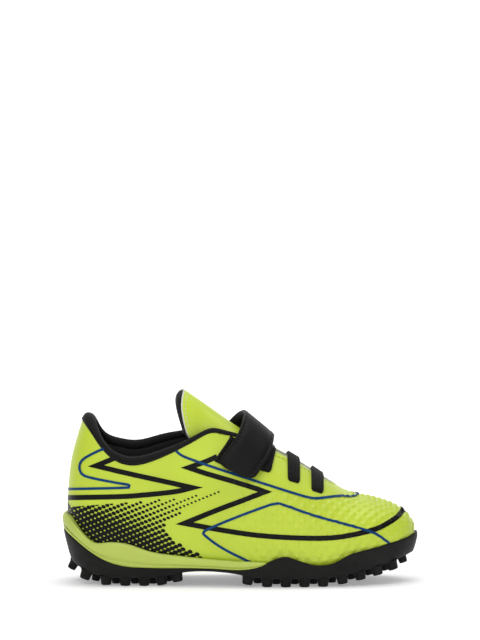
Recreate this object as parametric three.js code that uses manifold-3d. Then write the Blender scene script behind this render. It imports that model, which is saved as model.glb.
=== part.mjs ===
// Child's turf football shoe, right foot. Millimetres, +X to the toe, +Y to the medial side, +Z up.
// Every layer of the shoe is measured from one smooth body surface, the outside of the upper.
import * as THREE from 'three';
import Module from 'manifold-3d';
import { mergeVertices } from 'three/addons/utils/BufferGeometryUtils.js';

const wasm = await Module();
wasm.setup();

// ---- driving dimensions -------------------------------------------------------------------
const SOLE_LEDGE = 3.4;        // how far the sole wall stands out from the upper
const SHELL = 1.5;             // thickness of the synthetic upper
const GAP = 0.35;              // clearance between neighbouring pieces
const FAN = 7;                 // columns in each quarter turn of the heel and of the toe
const SIDE = 15;               // columns along each straight side
const HEEL_AXIS_X = 30;        // centre of the heel's round end
const TOE_AXIS_X = 152;        // centre of the toe's round end, just behind the throat's front
const HEEL_ROUND = 27;         // length of the heel's round end
const TOE_ROUND = 54;
const TOE_TIP = 207.4;         // front of the upper
const THROAT_FRONT = 7.5;      // radius of the throat's round front
const STUD_HEIGHT = 5;
const STUD_BURY = 0.6;         // how deep a stud runs into the sole
const STUD_BASE = 3.4;
const STUD_TIP = 2.5;
const STRAP_WIDTH = 22.5;
const STRAP_THICK = 2;
const LACE_WIDTH = 7;
const LACE_THICK = 1.3;
const ROUNDNESS = 2.35;        // exponent of the shoe's round sections, 2 would be an ellipse
const UNDER_DEPTH = 19;        // how far the round section reaches below its widest level
const ANKLE_LEAN = 0.11;       // share of the width lost towards the collar
const SOLE_SLOPE = 0.24;       // how much the sole's wall leans in towards the ground
const END_REACH = 40;          // rough distance from an end's axis to the sole's edge
const RUBBER_WALL = 1.5;
const RIM_STEP = 0.6;          // clearance between the rubber cup's wall and the foam inside it
const STUD_EDGE = 5.2;         // stud axis to the sole's edge
const SMALL_STUD = 0.82;       // size of the inner studs, as a share of the outer ones
const STIFFENER = 0.6;         // thickness of eyestays and toe puff
const COUNTER = 0.7;           // thickness of the heel counter
const LINING = 0.9;
const PAD = 2.6;               // extra depth of the padding round the ankle
const LINING_DEPTH = SHELL + GAP + 1.3;
const BINDING_DEPTH = 6.9;     // outer to inner face of the collar binding, before it is fitted
const FACE_SHEET = 1.2;        // tongue: outer sheet, and the top and bottom of foam and lining
const TONGUE_BASE = 3.4;
const TONGUE_FOAM = [1.5, 4.2];
const TONGUE_LINING = [4.5, 5.3];
const PATCH_THICK = 1.4;

// ---- small helpers ------------------------------------------------------------------------
const clamp = (v, lo, hi) => Math.min(hi, Math.max(lo, v));
const mix = (a, b, t) => a + (b - a) * t;
const rad = THREE.MathUtils.degToRad;
const smooth = (v, lo, hi) => THREE.MathUtils.smoothstep(v, lo, hi);
const vec = (x, y, z) => new THREE.Vector3(x, y, z);

// A smooth curve y(x) through [x, y] points: cubic pieces with the neighbours' slope at each point.
function curve(...points) {
  const slope = points.map((point, i) => {
    const before = points[Math.max(0, i - 1)];
    const after = points[Math.min(points.length - 1, i + 1)];
    return (after[1] - before[1]) / (after[0] - before[0]);
  });
  return (x) => {
    if (x <= points[0][0]) return points[0][1];
    if (x >= points.at(-1)[0]) return points.at(-1)[1];
    const i = points.findIndex((point) => point[0] > x) - 1;
    const step = points[i + 1][0] - points[i][0];
    const t = (x - points[i][0]) / step;
    const s = 1 - t;
    return points[i][1] * s * s * (1 + 2 * t) + points[i + 1][1] * t * t * (3 - 2 * t)
      + slope[i] * step * t * s * s - slope[i + 1] * step * t * t * s;
  };
}

function bisect(test, lo, hi) {
  for (let i = 0; i < 40; i += 1) {
    const middle = (lo + hi) / 2;
    if (test(middle)) lo = middle;
    else hi = middle;
  }
  return (lo + hi) / 2;
}

// ---- the shoe's lines, each as height or half width against x ------------------------------
const centreY = (x) => 5 * smooth(x, 95, 215);
const lateralWidth = curve([0, 28.5], [40, 28.5], [75, 29.5], [105, 33.5], [135, 37], [160, 36], [185, 35],
  [210, 35]);
const medialWidth = curve([0, 28.5], [40, 28.5], [75, 29], [105, 32], [145, 36], [165, 35.5], [185, 34.5],
  [210, 34]);
const crown = curve([0, 190], [30, 160], [50, 132], [71, 119], [92, 104.5], [105, 95.5], [127, 81],
  [142, 71], [156, 61.5], [170, 53], [184.6, 49.6], [195, 46.2], [201, 42.5], [205, 38.4],
  [207.4, 33]);
const heelBack = curve([10, 8], [24, 4.8], [40, 3.6], [53, 3.8], [73, 5.6], [91, 10], [104, 14]);
const feather = curve([0, 18], [40, 17.5], [80, 14.5], [110, 11.5], [145, 10.5],
  [165, 12.8], [185, 17.5], [200, 22.6], [210, 25.6]);
const soleRoot = curve([3, 14], [8, 11], [16, 7.4], [29, 5], [36, 5], [50, 5], [56, 5.2], [72, 8.2], [84, 9],
  [98, 8.2], [113, 5.8], [122, 5], [130, 5], [148, 5], [156, 5.3], [168, 7.2], [184, 11], [196, 14.6],
  [206, 17.6]);
const rubberTop = curve([0, 32.2], [6.4, 27.7], [13.5, 22.3], [24, 15.8], [35, 12.2], [50, 11], [85, 10.8],
  [106, 10.2], [117, 12.2], [124, 15.8], [132, 17.6], [140, 15], [150, 12.2], [160, 13], [170, 18.2],
  [185, 21.8], [199, 25.2], [210, 28.4]);
const midsoleTop = curve([0, 41.2], [3, 40.8], [12, 31.2], [19, 26], [29, 26.4], [39, 25.2], [53, 20.6], [70, 18.2],
  [93, 16.2], [120, 15]);
const lateralCollar = curve([8, 100.3], [12.5, 97.2], [17, 91.5], [24, 81], [31.4, 75], [40, 72.3], [49, 73.5],
  [63.4, 79], [77.7, 86], [88, 91.6], [96, 91.6], [103, 88.9]);
const medialRise = (x) => 6.5 * smooth(x, 17, 36) * (1 - smooth(x, 55, 90));
const throatHalf = curve([86, 19.5], [100, 17], [127, 12.5], [152, THROAT_FRONT]);
const widest = (x) => feather(x) + 8 - 4.5 * smooth(x, 180, 208);
const COLLAR_END_X = 92;

// ---- body surface: zero on the outside of the upper, negative inside it --------------------
function bodyField({ x, y, z }) {
  const side = y - centreY(x);
  const level = widest(x);
  const lean = 1 - ANKLE_LEAN * smooth(z, 34, 100);
  const width = (side < 0 ? lateralWidth(x) : medialWidth(x)) * lean;
  const up = z > level ? (z - level) / Math.max(2.5, crown(x) - level) : (level - z) / UNDER_DEPTH;
  const heel = Math.max(0, 1 - (x - heelBack(z)) / HEEL_ROUND);
  const toe = Math.max(0, 1 - (TOE_TIP - x) / TOE_ROUND);
  const ends = 1 - heel ** ROUNDNESS - toe ** ROUNDNESS;
  const section = 1 - up ** ROUNDNESS;
  const room = ends < 0 && section < 0 ? -ends * section : ends * section;
  return (Math.abs(side) / width) ** ROUNDNESS - room;
}

function normalAt(point) {
  const step = 0.05;
  const slope = (axis) => {
    const ahead = point.clone();
    const behind = point.clone();
    ahead[axis] += step;
    behind[axis] -= step;
    return bodyField(ahead) - bodyField(behind);
  };
  return vec(slope('x'), slope('y'), slope('z')).normalize();
}

function rayHit(origin, direction) {
  const reach = bisect((t) => bodyField(origin.clone().addScaledVector(direction, t)) < 0, 0, 150);
  return origin.clone().addScaledVector(direction, reach);
}

// ---- columns: half planes that stand round the shoe, from the heel by the lateral side -------
function halfColumns() {
  const columns = [];
  for (let i = 0; i < FAN; i += 1) {
    const angle = (i / FAN) * Math.PI / 2;
    columns.push({ x: HEEL_AXIS_X, out: [-Math.cos(angle), Math.sin(angle)] });
  }
  for (let i = 0; i <= SIDE; i += 1) {
    columns.push({ x: mix(HEEL_AXIS_X, TOE_AXIS_X, i / SIDE), out: [0, 1] });
  }
  for (let i = 1; i <= FAN; i += 1) {
    const angle = (i / FAN) * Math.PI / 2;
    columns.push({ x: TOE_AXIS_X, out: [Math.sin(angle), Math.cos(angle)] });
  }
  return columns;
}

function makeColumn({ x, out }, side) {
  const column = { axis: vec(x, centreY(x), widest(x)), out: vec(out[0], side * out[1], 0) };
  const ray = (angle) => column.out.clone().multiplyScalar(Math.cos(angle)).add(vec(0, 0, Math.sin(angle)));
  column.at = (angle) => rayHit(column.axis, ray(angle));
  const collar = (px) => lateralCollar(px) + (side > 0 ? medialRise(px) : 0);
  const belowTop = (angle) => {
    const point = column.at(angle);
    if (x <= COLLAR_END_X) return point.z < collar(point.x);
    if (out[0] > 0) return point.distanceTo(vec(column.axis.x, column.axis.y, point.z)) > THROAT_FRONT;
    return Math.abs(point.y - column.axis.y) > throatHalf(x);
  };
  column.top = bisect(belowTop, 0, 1.5);
  column.bottom = bisect((angle) => column.at(angle).z < feather(column.at(angle).x), -1, 0.6);
  return column;
}

const half = halfColumns();
const lateralColumns = half.map((column) => makeColumn(column, -1));
const medialColumns = half.map((column) => makeColumn(column, 1));
const COLUMNS = [...lateralColumns, ...medialColumns.slice(1, -1).reverse()];
const COUNT = COLUMNS.length;

function surface(column, height, depth) {
  const point = column.at(mix(column.bottom, column.top, height));
  return point.addScaledVector(normalAt(point), -depth);
}

function radiusAt(column, z) {
  const origin = vec(column.axis.x, column.axis.y, z);
  return rayHit(origin, column.out).distanceTo(origin);
}

// ---- solids from grids ---------------------------------------------------------------------
function solid(points, faces) {
  const geometry = new THREE.BufferGeometry();
  geometry.setAttribute('position', new THREE.Float32BufferAttribute(points.flatMap((p) => p.toArray()), 3));
  let volume = 0;
  for (const [a, b, c] of faces) volume += points[a].dot(points[b].clone().cross(points[c]));
  geometry.setIndex((volume < 0 ? faces.map(([a, b, c]) => [a, c, b]) : faces).flat());
  geometry.computeVertexNormals();
  return geometry;
}

function quad(faces, a, b, c, d) {
  faces.push([a, b, c], [a, c, d]);
}

// A sheet of columns and levels with two sides, closed along its edges.
function slab(outer, inner, closed = false) {
  const columns = outer.length;
  const levels = outer[0].length;
  const points = [...outer.flat(), ...inner.flat()];
  const inside = columns * levels;
  const faces = [];
  const spans = closed ? columns : columns - 1;
  for (let i = 0; i < spans; i += 1) {
    const here = i * levels;
    const next = ((i + 1) % columns) * levels;
    for (let j = 0; j < levels - 1; j += 1) {
      quad(faces, here + j, next + j, next + j + 1, here + j + 1);
      quad(faces, inside + here + j, inside + here + j + 1, inside + next + j + 1, inside + next + j);
    }
    const last = levels - 1;
    quad(faces, here, inside + here, inside + next, next);
    quad(faces, here + last, next + last, inside + next + last, inside + here + last);
  }
  if (!closed) {
    const end = (columns - 1) * levels;
    for (let j = 0; j < levels - 1; j += 1) {
      quad(faces, j, j + 1, inside + j + 1, inside + j);
      quad(faces, end + j, inside + end + j, inside + end + j + 1, end + j + 1);
    }
  }
  return solid(points, faces);
}

// A stack of closed loops with a cap across the first and the last, laced from side to side.
function loft(loops) {
  const count = loops[0].length;
  const faces = [];
  for (let k = 0; k < loops.length - 1; k += 1) {
    for (let i = 0; i < count; i += 1) {
      const next = (i + 1) % count;
      quad(faces, k * count + i, k * count + next, (k + 1) * count + next, (k + 1) * count + i);
    }
  }
  const cap = (start, flip) => {
    const add = (a, b, c) => faces.push(flip ? [a, c, b] : [a, b, c]);
    for (let i = 0; i < count / 2; i += 1) {
      const a = start + i;
      const b = start + i + 1;
      const c = start + count - i - 1;
      const d = start + ((count - i) % count);
      if (i < count / 2 - 1) add(a, c, b);
      if (i > 0) add(a, d, c);
    }
  };
  cap(0, false);
  cap((loops.length - 1) * count, true);
  return solid(loops.flat(), faces);
}

const range = (count, make) => Array.from({ length: count }, (unused, i) => make(i));
const steps = (from, to, count) => range(count + 1, (i) => mix(from, to, i / count));

// A layer of the upper between two depths, over a run of columns and a band of heights.
function layer(columns, heights, outerDepth, innerDepth, closed = false) {
  const grid = (depth) => columns.map((column) => heights.map((height) => (
    surface(column, height, typeof depth === 'function' ? depth(column, height) : depth))));
  return slab(grid(outerDepth), grid(innerDepth), closed);
}

function run(first, last) {
  return range(last - first + 1, (i) => COLUMNS[(first + i + COUNT) % COUNT]);
}

// ---- sole ----------------------------------------------------------------------------------
const flare = (column, z) => {
  const x = column.axis.x + column.out.x * END_REACH;
  const level = 15 + 15 * (1 - smooth(x, 0, 45)) + 12 * smooth(x, 150, 200);
  return SOLE_SLOPE * Math.max(0, level - z);
};

// A point of a column whose height is a function of its own x, and whose reach depends on its height.
function settle(column, reach, height) {
  let x = column.axis.x + column.out.x * END_REACH;
  let distance = 0;
  for (let i = 0; i < 6; i += 1) {
    distance = reach(height(x));
    x = column.axis.x + column.out.x * distance;
  }
  return column.axis.clone().addScaledVector(column.out, distance).setZ(height(x));
}

function solePoint(column, height, inset) {
  const wide = radiusAt(column, column.axis.z) + SOLE_LEDGE - inset;
  return settle(column, (z) => wide - flare(column, z), height);
}
const soleX = (column) => solePoint(column, rubberTop, 0).x;
const soleLoop = (height, inset) => COLUMNS.map((column) => solePoint(column, height, inset));
const soleFloor = (x) => soleRoot(x) + Math.min(2.2, 0.7 * (rubberTop(x) - soleRoot(x)));

// A tapered stud, square to the sole where the sole curves up.
function stud(x, y, radius) {
  const slope = (soleRoot(x + 1) - soleRoot(x - 1)) / 2;
  const tilt = Math.abs(slope) < 0.16 ? 0 : Math.atan(slope);
  const length = Math.min(STUD_HEIGHT, soleRoot(x)) + STUD_BURY;
  const geometry = new THREE.CylinderGeometry(radius, radius * STUD_TIP / STUD_BASE, length, 6, 1);
  geometry.translate(0, STUD_BURY - length / 2, 0);
  geometry.rotateX(Math.PI / 2);
  geometry.rotateY(-tilt);
  geometry.translate(x, y, soleRoot(x));
  return geometry;
}

function toManifold(geometry) {
  const bare = geometry.clone();
  bare.deleteAttribute('normal');
  bare.deleteAttribute('uv');
  const merged = mergeVertices(bare, 1e-4);
  return new wasm.Manifold(new wasm.Mesh({
    numProp: 3,
    vertProperties: new Float32Array(merged.attributes.position.array),
    triVerts: new Uint32Array(merged.index.array),
  }));
}

function fromManifold(body) {
  const mesh = body.getMesh();
  const geometry = new THREE.BufferGeometry();
  geometry.setAttribute('position', new THREE.BufferAttribute(mesh.vertProperties, 3));
  geometry.setIndex(new THREE.BufferAttribute(mesh.triVerts, 1));
  geometry.computeVertexNormals();
  return geometry;
}

// Studs stand in two rings, along the sole's edge and inside it, with a few on the middle line.
function studPlaces() {
  const places = [];
  const edge = (x, side) => {
    const column = lateralColumns.find((candidate) => candidate.axis.x >= x) ?? lateralColumns[FAN];
    const widths = side < 0 ? lateralWidth(x) : medialWidth(x);
    const heel = Math.max(0, 1 - (x - 4) / HEEL_ROUND);
    const toe = Math.max(0, 1 - (TOE_TIP - x) / TOE_ROUND);
    const round = (1 - heel ** ROUNDNESS - toe ** ROUNDNESS) ** (1 / ROUNDNESS);
    return centreY(x) + side * (widths * round + SOLE_LEDGE - flare(column, STUD_HEIGHT) - STUD_EDGE);
  };
  const outerRow = [12, 22.5, 33, 43.5, 54, 64.5, 110, 121, 132, 143, 154, 165, 175.5, 185.5, 194.5];
  for (const x of outerRow) {
    for (const side of [-1, 1]) places.push([x, edge(x, side), STUD_BASE]);
  }
  const innerRow = [17.5, 28, 38.5, 49, 59.5, 115.5, 126.5, 137.5, 148.5, 159.5, 170.5, 181, 190.5];
  for (const x of innerRow) {
    for (const side of [-1, 1]) places.push([x, mix(centreY(x), edge(x, side), 0.52), STUD_BASE * SMALL_STUD]);
  }
  for (const x of [6.8, 121, 132, 143, 154, 165, 201]) places.push([x, centreY(x), STUD_BASE * SMALL_STUD]);
  return places;
}

function outsoleGeometry() {
  const cup = loft([
    soleLoop((x) => soleRoot(x), 3),
    soleLoop((x) => soleRoot(x) + 1, 0.4),
    soleLoop((x) => mix(soleRoot(x) + 1, rubberTop(x), 0.5), 0),
    soleLoop((x) => rubberTop(x), 0),
    soleLoop((x) => rubberTop(x), RUBBER_WALL),
    soleLoop((x) => soleFloor(x), RUBBER_WALL),
  ]);
  let body = toManifold(cup);
  for (const [x, y, radius] of studPlaces()) body = body.add(toManifold(stud(x, y, radius)));
  return fromManifold(body);
}

// The midsole fills the rubber cup; behind the forefoot it shows above the rubber's edge.
function midsoleGeometry() {
  const shows = (x) => midsoleTop(x) > rubberTop(x) + 1.2 && x < 119;
  const hiddenTop = (x) => rubberTop(x) + 0.4 - 1.4 * smooth(x, 128, 140);
  const hidden = RUBBER_WALL + RIM_STEP;
  const top = (x) => (shows(x) ? midsoleTop(x) : hiddenTop(x));
  const stepLoop = (visibleHeight, visibleInset, hiddenDrop) => COLUMNS.map((column) => {
    const visible = shows(soleX(column));
    const height = (x) => (visible ? visibleHeight(x) : hiddenTop(x) - hiddenDrop);
    return solePoint(column, height, visible ? visibleInset : hidden);
  });
  const pocketLoop = (share, above) => COLUMNS.map((column) => {
    const rim = top(soleX(column));
    return settle(column, (z) => radiusAt(column, z) + GAP + 0.1, (x) => mix(rim, feather(x) - GAP, share) + above);
  });
  const outside = loft([
    soleLoop((x) => soleFloor(x) + GAP, hidden),
    stepLoop((x) => rubberTop(x) + 2 * GAP, hidden, 0.9),
    stepLoop((x) => rubberTop(x) + 2.4 * GAP, 0.3, 0.45),
    stepLoop((x) => mix(rubberTop(x), midsoleTop(x), 0.6), -0.3, 0.2),
    stepLoop((x) => midsoleTop(x), 1, 0),
  ]);
  const pocket = loft([
    ...steps(0, 1, 5).reverse().map((share) => pocketLoop(share, 0)),
    pocketLoop(0, 3),
  ]);
  return fromManifold(toManifold(outside).subtract(toManifold(pocket)));
}

// A flat board or pad that fills the shoe's floor, from one height above the feather line to another.
function floorPad(bottom, top, inset) {
  const loop = (rise) => COLUMNS.map((column) => (
    settle(column, (z) => radiusAt(column, z) - inset, (x) => feather(x) + rise)));
  return loft([loop(bottom), loop(top)]);
}

// ---- upper and its lining --------------------------------------------------------------------
const HALF = COUNT / 2;
const QUARTER_END = FAN + Math.floor((COLLAR_END_X - HEEL_AXIS_X) / (TOE_AXIS_X - HEEL_AXIS_X) * SIDE);
const quarterColumns = run(-QUARTER_END, QUARTER_END);
const vampColumns = run(QUARTER_END + 1, COUNT - QUARTER_END - 1);
const padded = (column, height) => {
  const swell = smooth(height, 0.45, 0.75) * (1 - smooth(column.axis.x, 52, 78));
  return LINING_DEPTH + PAD * swell;
};

const BAND = [0.5, 0.625, 0.75, 0.875, 0.985];
const shellGeometry = () => layer(COLUMNS, steps(0, 1, 8), 0, SHELL, true);
const counterGeometry = () => layer(run(-FAN - 3, FAN + 3), [0.17, 0.25, 0.375, 0.45],
  SHELL + GAP, SHELL + GAP + COUNTER);
const puffGeometry = () => layer(run(HALF - FAN, HALF + FAN), [0.25, 0.375, 0.5, 0.625],
  SHELL + 0.6, SHELL + 0.6 + STIFFENER);
const foamGeometry = () => layer(run(-QUARTER_END + 1, QUARTER_END - 1), BAND, SHELL + GAP,
  (column, height) => Math.max(SHELL + GAP + 0.6, padded(column, height) - GAP));
const quarterLiningGeometry = () => layer(quarterColumns, [0.17, 0.25, 0.375, ...BAND], padded,
  (column, height) => padded(column, height) + LINING);
const vampLiningGeometry = () => layer(vampColumns, [0.17, 0.25, 0.375, 0.5, 0.625, 0.75, 0.875],
  LINING_DEPTH, LINING_DEPTH + LINING);

function eyestayGeometry(side) {
  const first = QUARTER_END + 1;
  const last = HALF - FAN;
  const columns = side < 0 ? run(first, last) : run(COUNT - last, COUNT - first);
  return layer(columns, [0.75, 0.875, 0.985], SHELL + 0.5, SHELL + 0.5 + STIFFENER);
}

// Bias tape over the collar's edge, from one eyestay corner round the heel to the other.
function bindingGeometry() {
  const section = [[0, -0.5], [0.4, 2.2], [2.2, 3.4], [5.2, 3.4], [6.8, 2.2], [BINDING_DEPTH, -0.5]];
  const columns = run(-QUARTER_END, QUARTER_END);
  const ring = (column) => {
    const edge = surface(column, 1, 0);
    const inner = surface(column, 1, padded(column, 1) + LINING);
    const across = inner.clone().sub(edge);
    const width = across.length();
    const below = surface(column, 0.97, 0);
    const up = edge.clone().sub(below).normalize();
    const fit = (width + 0.4) / width / BINDING_DEPTH;
    return section.map(([depth, rise]) => edge.clone().addScaledVector(across, depth * fit)
      .addScaledVector(up, rise + 0.5 + GAP));
  };
  const rings = columns.map(ring);
  const points = rings.flat();
  const count = section.length;
  const faces = [];
  for (let k = 0; k < rings.length - 1; k += 1) {
    for (let i = 0; i < count; i += 1) {
      const next = (i + 1) % count;
      quad(faces, k * count + i, k * count + next, (k + 1) * count + next, (k + 1) * count + i);
    }
  }
  const end = (rings.length - 1) * count;
  for (let i = 1; i < count - 1; i += 1) faces.push([0, i + 1, i], [end, end + i, end + i + 1]);
  return solid(points, faces);
}

// ---- tongue: an arched sheet from the throat's front, out between the collars -----------------
const TONGUE_TIP_X = 71.5;
const TONGUE_FOLD_X = 94;
const TONGUE_BASE_END_X = 148;
const tongueTop = curve([66, 118.5], [71.5, 114.7], [83, 106.8], [94, 99], [105, 91.3], [127, 76.8],
  [142, 66.8], [152, 60.5]);
const tongueHalf = curve([66, 14.6], [75, 14.2], [83, 13.2], [94, 15.2], [105, 16.4], [127, 14.2], [152, 11]);
const tongueDrop = curve([66, 31], [75, 29], [94, 19.5], [105, 13.5], [127, 8], [152, 5]);
function tonguePoint(x, angle, depth) {
  const half = tongueHalf(x) - depth;
  const drop = tongueDrop(x) - depth * 0.4;
  return vec(x, centreY(x) + half * Math.sin(angle), tongueTop(x) - depth - drop * (1 - Math.cos(angle)));
}
const flapEnd = (angle) => TONGUE_TIP_X + 3 * Math.sin(angle) ** 2 - 5 * Math.max(0, Math.sin(angle));
const foldBack = (angle) => TONGUE_FOLD_X - 0.6 - 0.5 * (1 - Math.cos(angle));
const foldFront = (angle) => TONGUE_FOLD_X + 0.6 + 3.2 * (1 - Math.cos(angle));

function tongueSheet(start, end, count, outerDepth, innerDepth, spread = 1.45) {
  const grid = (depth) => steps(-spread, spread, 12).map((angle) => (
    steps(0, 1, count).map((t) => tonguePoint(mix(start(angle), end(angle), t), angle, depth))));
  return slab(grid(outerDepth), grid(innerDepth));
}
const flapSheet = (outerDepth, innerDepth, spread) => (
  tongueSheet(flapEnd, foldBack, 4, outerDepth, innerDepth, spread));

// ---- closure: strap, its patches, and elastic lace bands --------------------------------------
// A band crosses the instep on a fan of rays: angle 0 is the top, negative is the lateral side.
const strapFan = { origin: vec(101, 1, 57.5), up: vec(0.36, 0, 0.933), along: vec(0.84, 0, -0.54) };
function bandPoint(fan, angle, across, depth) {
  const origin = fan.origin.clone().addScaledVector(fan.along, across);
  const direction = fan.up.clone().multiplyScalar(Math.cos(angle)).add(vec(0, Math.sin(angle), 0));
  const point = rayHit(origin, direction);
  return point.addScaledVector(normalAt(point), depth);
}
function bandSheet(fan, angles, lanes, inner, outer) {
  const grid = (depth) => angles.map((angle, i) => lanes.map((lane) => {
    const across = typeof lane === 'function' ? lane(i / (angles.length - 1)) : lane;
    return bandPoint(fan, angle, across, depth(angle, across));
  }));
  return slab(grid(outer), grid(inner));
}

const STRAP_ROOT = rad(57);
const STRAP_END = rad(-72);
// The strap stands clear of the upper, and its rear edge stands highest over the instep.
const strapLift = (angle, across) => (
  3.2 + (0.85 - 2.5 * across / STRAP_WIDTH) * clamp(Math.cos(angle * 1.25), 0, 1) ** 2);
const strapLane = (share) => (t) => {
  const tip = clamp((t - 0.9) / 0.1, 0, 1);
  return share * STRAP_WIDTH / 2 * (1 - 0.22 * tip ** 2);
};
const strapGeometry = () => bandSheet(strapFan, steps(STRAP_ROOT, STRAP_END, 18),
  [-1, -0.33, 0.33, 1].map(strapLane), strapLift, (angle, across) => strapLift(angle, across) + STRAP_THICK);
const hookGeometry = () => bandSheet(strapFan, steps(rad(-40), rad(-66), 4), [-9, 0, 9],
  () => PATCH_THICK + GAP, (angle, across) => strapLift(angle, across) - GAP);
const loopGeometry = () => bandSheet(strapFan, steps(rad(-36), rad(-68), 5), [-16.5, -7, 2, 9.5],
  () => GAP, () => PATCH_THICK);
const anchorGeometry = () => bandSheet(strapFan, steps(rad(62), rad(100), 4), [-11, 0, 11], () => GAP, () => 3.2);

const LACES = [
  { origin: vec(121.5, 1.5, 45), up: vec(0.02, 0, 1), reach: 47 },
  { origin: vec(137, 2, 42), up: vec(-0.02, 0, 1), reach: 52 },
  { origin: vec(150.5, 2.5, 38), up: vec(0, 0, 1), reach: 54 },
];
function laceGeometry({ origin, up, reach }) {
  const fan = { origin, up, along: vec(0.98, 0, -0.2) };
  return bandSheet(fan, steps(rad(-reach), rad(reach), 12), [-LACE_WIDTH / 2, 0, LACE_WIDTH / 2],
    () => GAP, () => GAP + LACE_THICK);
}

// ---- materials ---------------------------------------------------------------------------------
const finish = (color, roughness) => new THREE.MeshStandardMaterial({ color, roughness, metalness: 0 });
const lime = finish(0xc4da48, 0.45);
const paleLime = finish(0xbaca64, 0.6);
const blackRubber = finish(0x262625, 0.65);
const blackTextile = finish(0x1b1b1a, 0.9);
const grey = finish(0x8c8c88, 0.8);
const foam = finish(0xd8d4c4, 0.95);

// ---- assembly ----------------------------------------------------------------------------------
const shoe = new THREE.Group();
function part(name, geometry, material) {
  const mesh = new THREE.Mesh(geometry, material);
  mesh.name = name;
  shoe.add(mesh);
}

part('outsole', outsoleGeometry(), blackRubber);
part('midsole', midsoleGeometry(), paleLime);
part('insole_board', floorPad(GAP, 1.9, SHELL + 0.9), grey);
part('sockliner', floorPad(2.4, 5.2, 5.4), blackTextile);
part('upper_shell', shellGeometry(), lime);
part('heel_counter', counterGeometry(), grey);
part('toe_puff', puffGeometry(), grey);
part('eyestay_lateral', eyestayGeometry(-1), grey);
part('eyestay_medial', eyestayGeometry(1), grey);
part('collar_foam', foamGeometry(), foam);
part('quarter_lining', quarterLiningGeometry(), blackTextile);
part('vamp_lining', vampLiningGeometry(), blackTextile);
part('collar_binding', bindingGeometry(), blackTextile);
part('tongue_base', tongueSheet(foldFront, () => TONGUE_BASE_END_X, 8, 0, TONGUE_BASE, 1.3), lime);
part('tongue_face', flapSheet(0, FACE_SHEET), lime);
part('tongue_foam', flapSheet(...TONGUE_FOAM, 1.4), foam);
part('tongue_lining', flapSheet(...TONGUE_LINING), blackTextile);
LACES.forEach((lace, i) => part(`elastic_lace_${i + 1}`, laceGeometry(lace), blackTextile));
part('loop_patch', loopGeometry(), blackTextile);
part('strap_anchor', anchorGeometry(), blackTextile);
part('strap_band', strapGeometry(), blackTextile);
part('hook_patch', hookGeometry(), blackTextile);

// The finished shoe stands with the middle of its footprint at the origin.
const box = new THREE.Box3().setFromObject(shoe, true);
const middle = box.getCenter(new THREE.Vector3());
shoe.position.set(-middle.x, -middle.y, -box.min.z);
const group = new THREE.Group();
group.add(shoe);
export default group;
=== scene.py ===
"""Looks of the turf football shoe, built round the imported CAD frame.

The shoe's lines are nearly the CAD model's: millimetres from the heel's back, +Z up from the ground. The toe,
the heel, the rubber's edge, the first lace, the studs' places and the tongue's base differ by a little.
place() turns the lines into the frame's metres. Everything soft, printed, sewn or moulded is made here.
"""
import functools
import math

import bpy
import bmesh
import numpy as np
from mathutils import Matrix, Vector
from mathutils.geometry import delaunay_2d_cdt


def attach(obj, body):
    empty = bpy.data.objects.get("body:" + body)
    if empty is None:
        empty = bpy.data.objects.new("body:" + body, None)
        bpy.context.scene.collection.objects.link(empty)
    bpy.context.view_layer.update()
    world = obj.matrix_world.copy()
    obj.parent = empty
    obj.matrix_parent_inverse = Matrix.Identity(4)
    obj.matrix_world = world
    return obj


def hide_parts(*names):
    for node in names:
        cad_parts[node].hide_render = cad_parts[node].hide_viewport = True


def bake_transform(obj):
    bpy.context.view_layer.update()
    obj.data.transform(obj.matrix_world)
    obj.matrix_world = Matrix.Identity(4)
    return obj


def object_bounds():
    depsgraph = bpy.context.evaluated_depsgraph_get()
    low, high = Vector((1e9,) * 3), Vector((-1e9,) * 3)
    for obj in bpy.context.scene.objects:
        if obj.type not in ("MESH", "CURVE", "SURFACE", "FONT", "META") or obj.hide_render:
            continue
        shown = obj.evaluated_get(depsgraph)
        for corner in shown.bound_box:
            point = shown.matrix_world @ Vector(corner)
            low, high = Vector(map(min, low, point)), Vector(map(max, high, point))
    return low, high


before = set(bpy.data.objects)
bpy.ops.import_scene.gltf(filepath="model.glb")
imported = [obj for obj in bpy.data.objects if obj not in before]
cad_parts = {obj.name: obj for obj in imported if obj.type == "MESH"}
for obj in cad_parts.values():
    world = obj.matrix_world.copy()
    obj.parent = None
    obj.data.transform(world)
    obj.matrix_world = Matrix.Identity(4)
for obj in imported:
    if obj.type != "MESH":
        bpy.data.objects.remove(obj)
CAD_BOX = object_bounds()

# ---- driving dimensions, millimetres ---------------------------------------------------------
HEEL_X = 0.87                  # where the shoe's box begins on its own lines
BOX_MIDDLE_Y = 0.996           # the middle of that box across
SOLE_LEDGE = 3.4               # how far the sole's wall stands out from the upper
TOE_LEDGE = 2.0                # at the toe the rubber wall hugs the upper
SOLE_SLOPE = 0.24              # how much the wall leans in towards the ground
RUBBER_WALL = 1.5
SHELL = 1.5                    # thickness of the synthetic upper
LINING_DEPTH = 3.15
PAD = 2.6                      # extra depth of the padding round the ankle
HEEL_AXIS_X = 30.0             # centre of the heel's round end
TOE_AXIS_X = 152.0             # the same for the toe
END_REACH = 40                 # rough distance from an end's axis to the sole's edge
THROAT_FRONT = 7.5             # radius of the throat's round front
HEEL_ROUND = 27.0              # length of the heel's round end
TOE_ROUND = 54.0
TOE_TIP = 208.8                # front of the upper
ROUNDNESS = 2.35               # exponent of the round sections, 2 would be an ellipse
UNDER_DEPTH = 19               # how far the round section reaches below its widest level
ANKLE_LEAN = 0.11              # share of the width lost towards the collar
COLLAR_END_X = 92.0
STUD_HEIGHT = 5.0
STUD_BASE = 3.4                # radius of an outer stud at its foot
STUD_EDGE = 5.2                # from a stud's axis to the sole's edge
STUD_LEVEL = 5.0               # height of the flat parts of the sole, which the studs stand on
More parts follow.
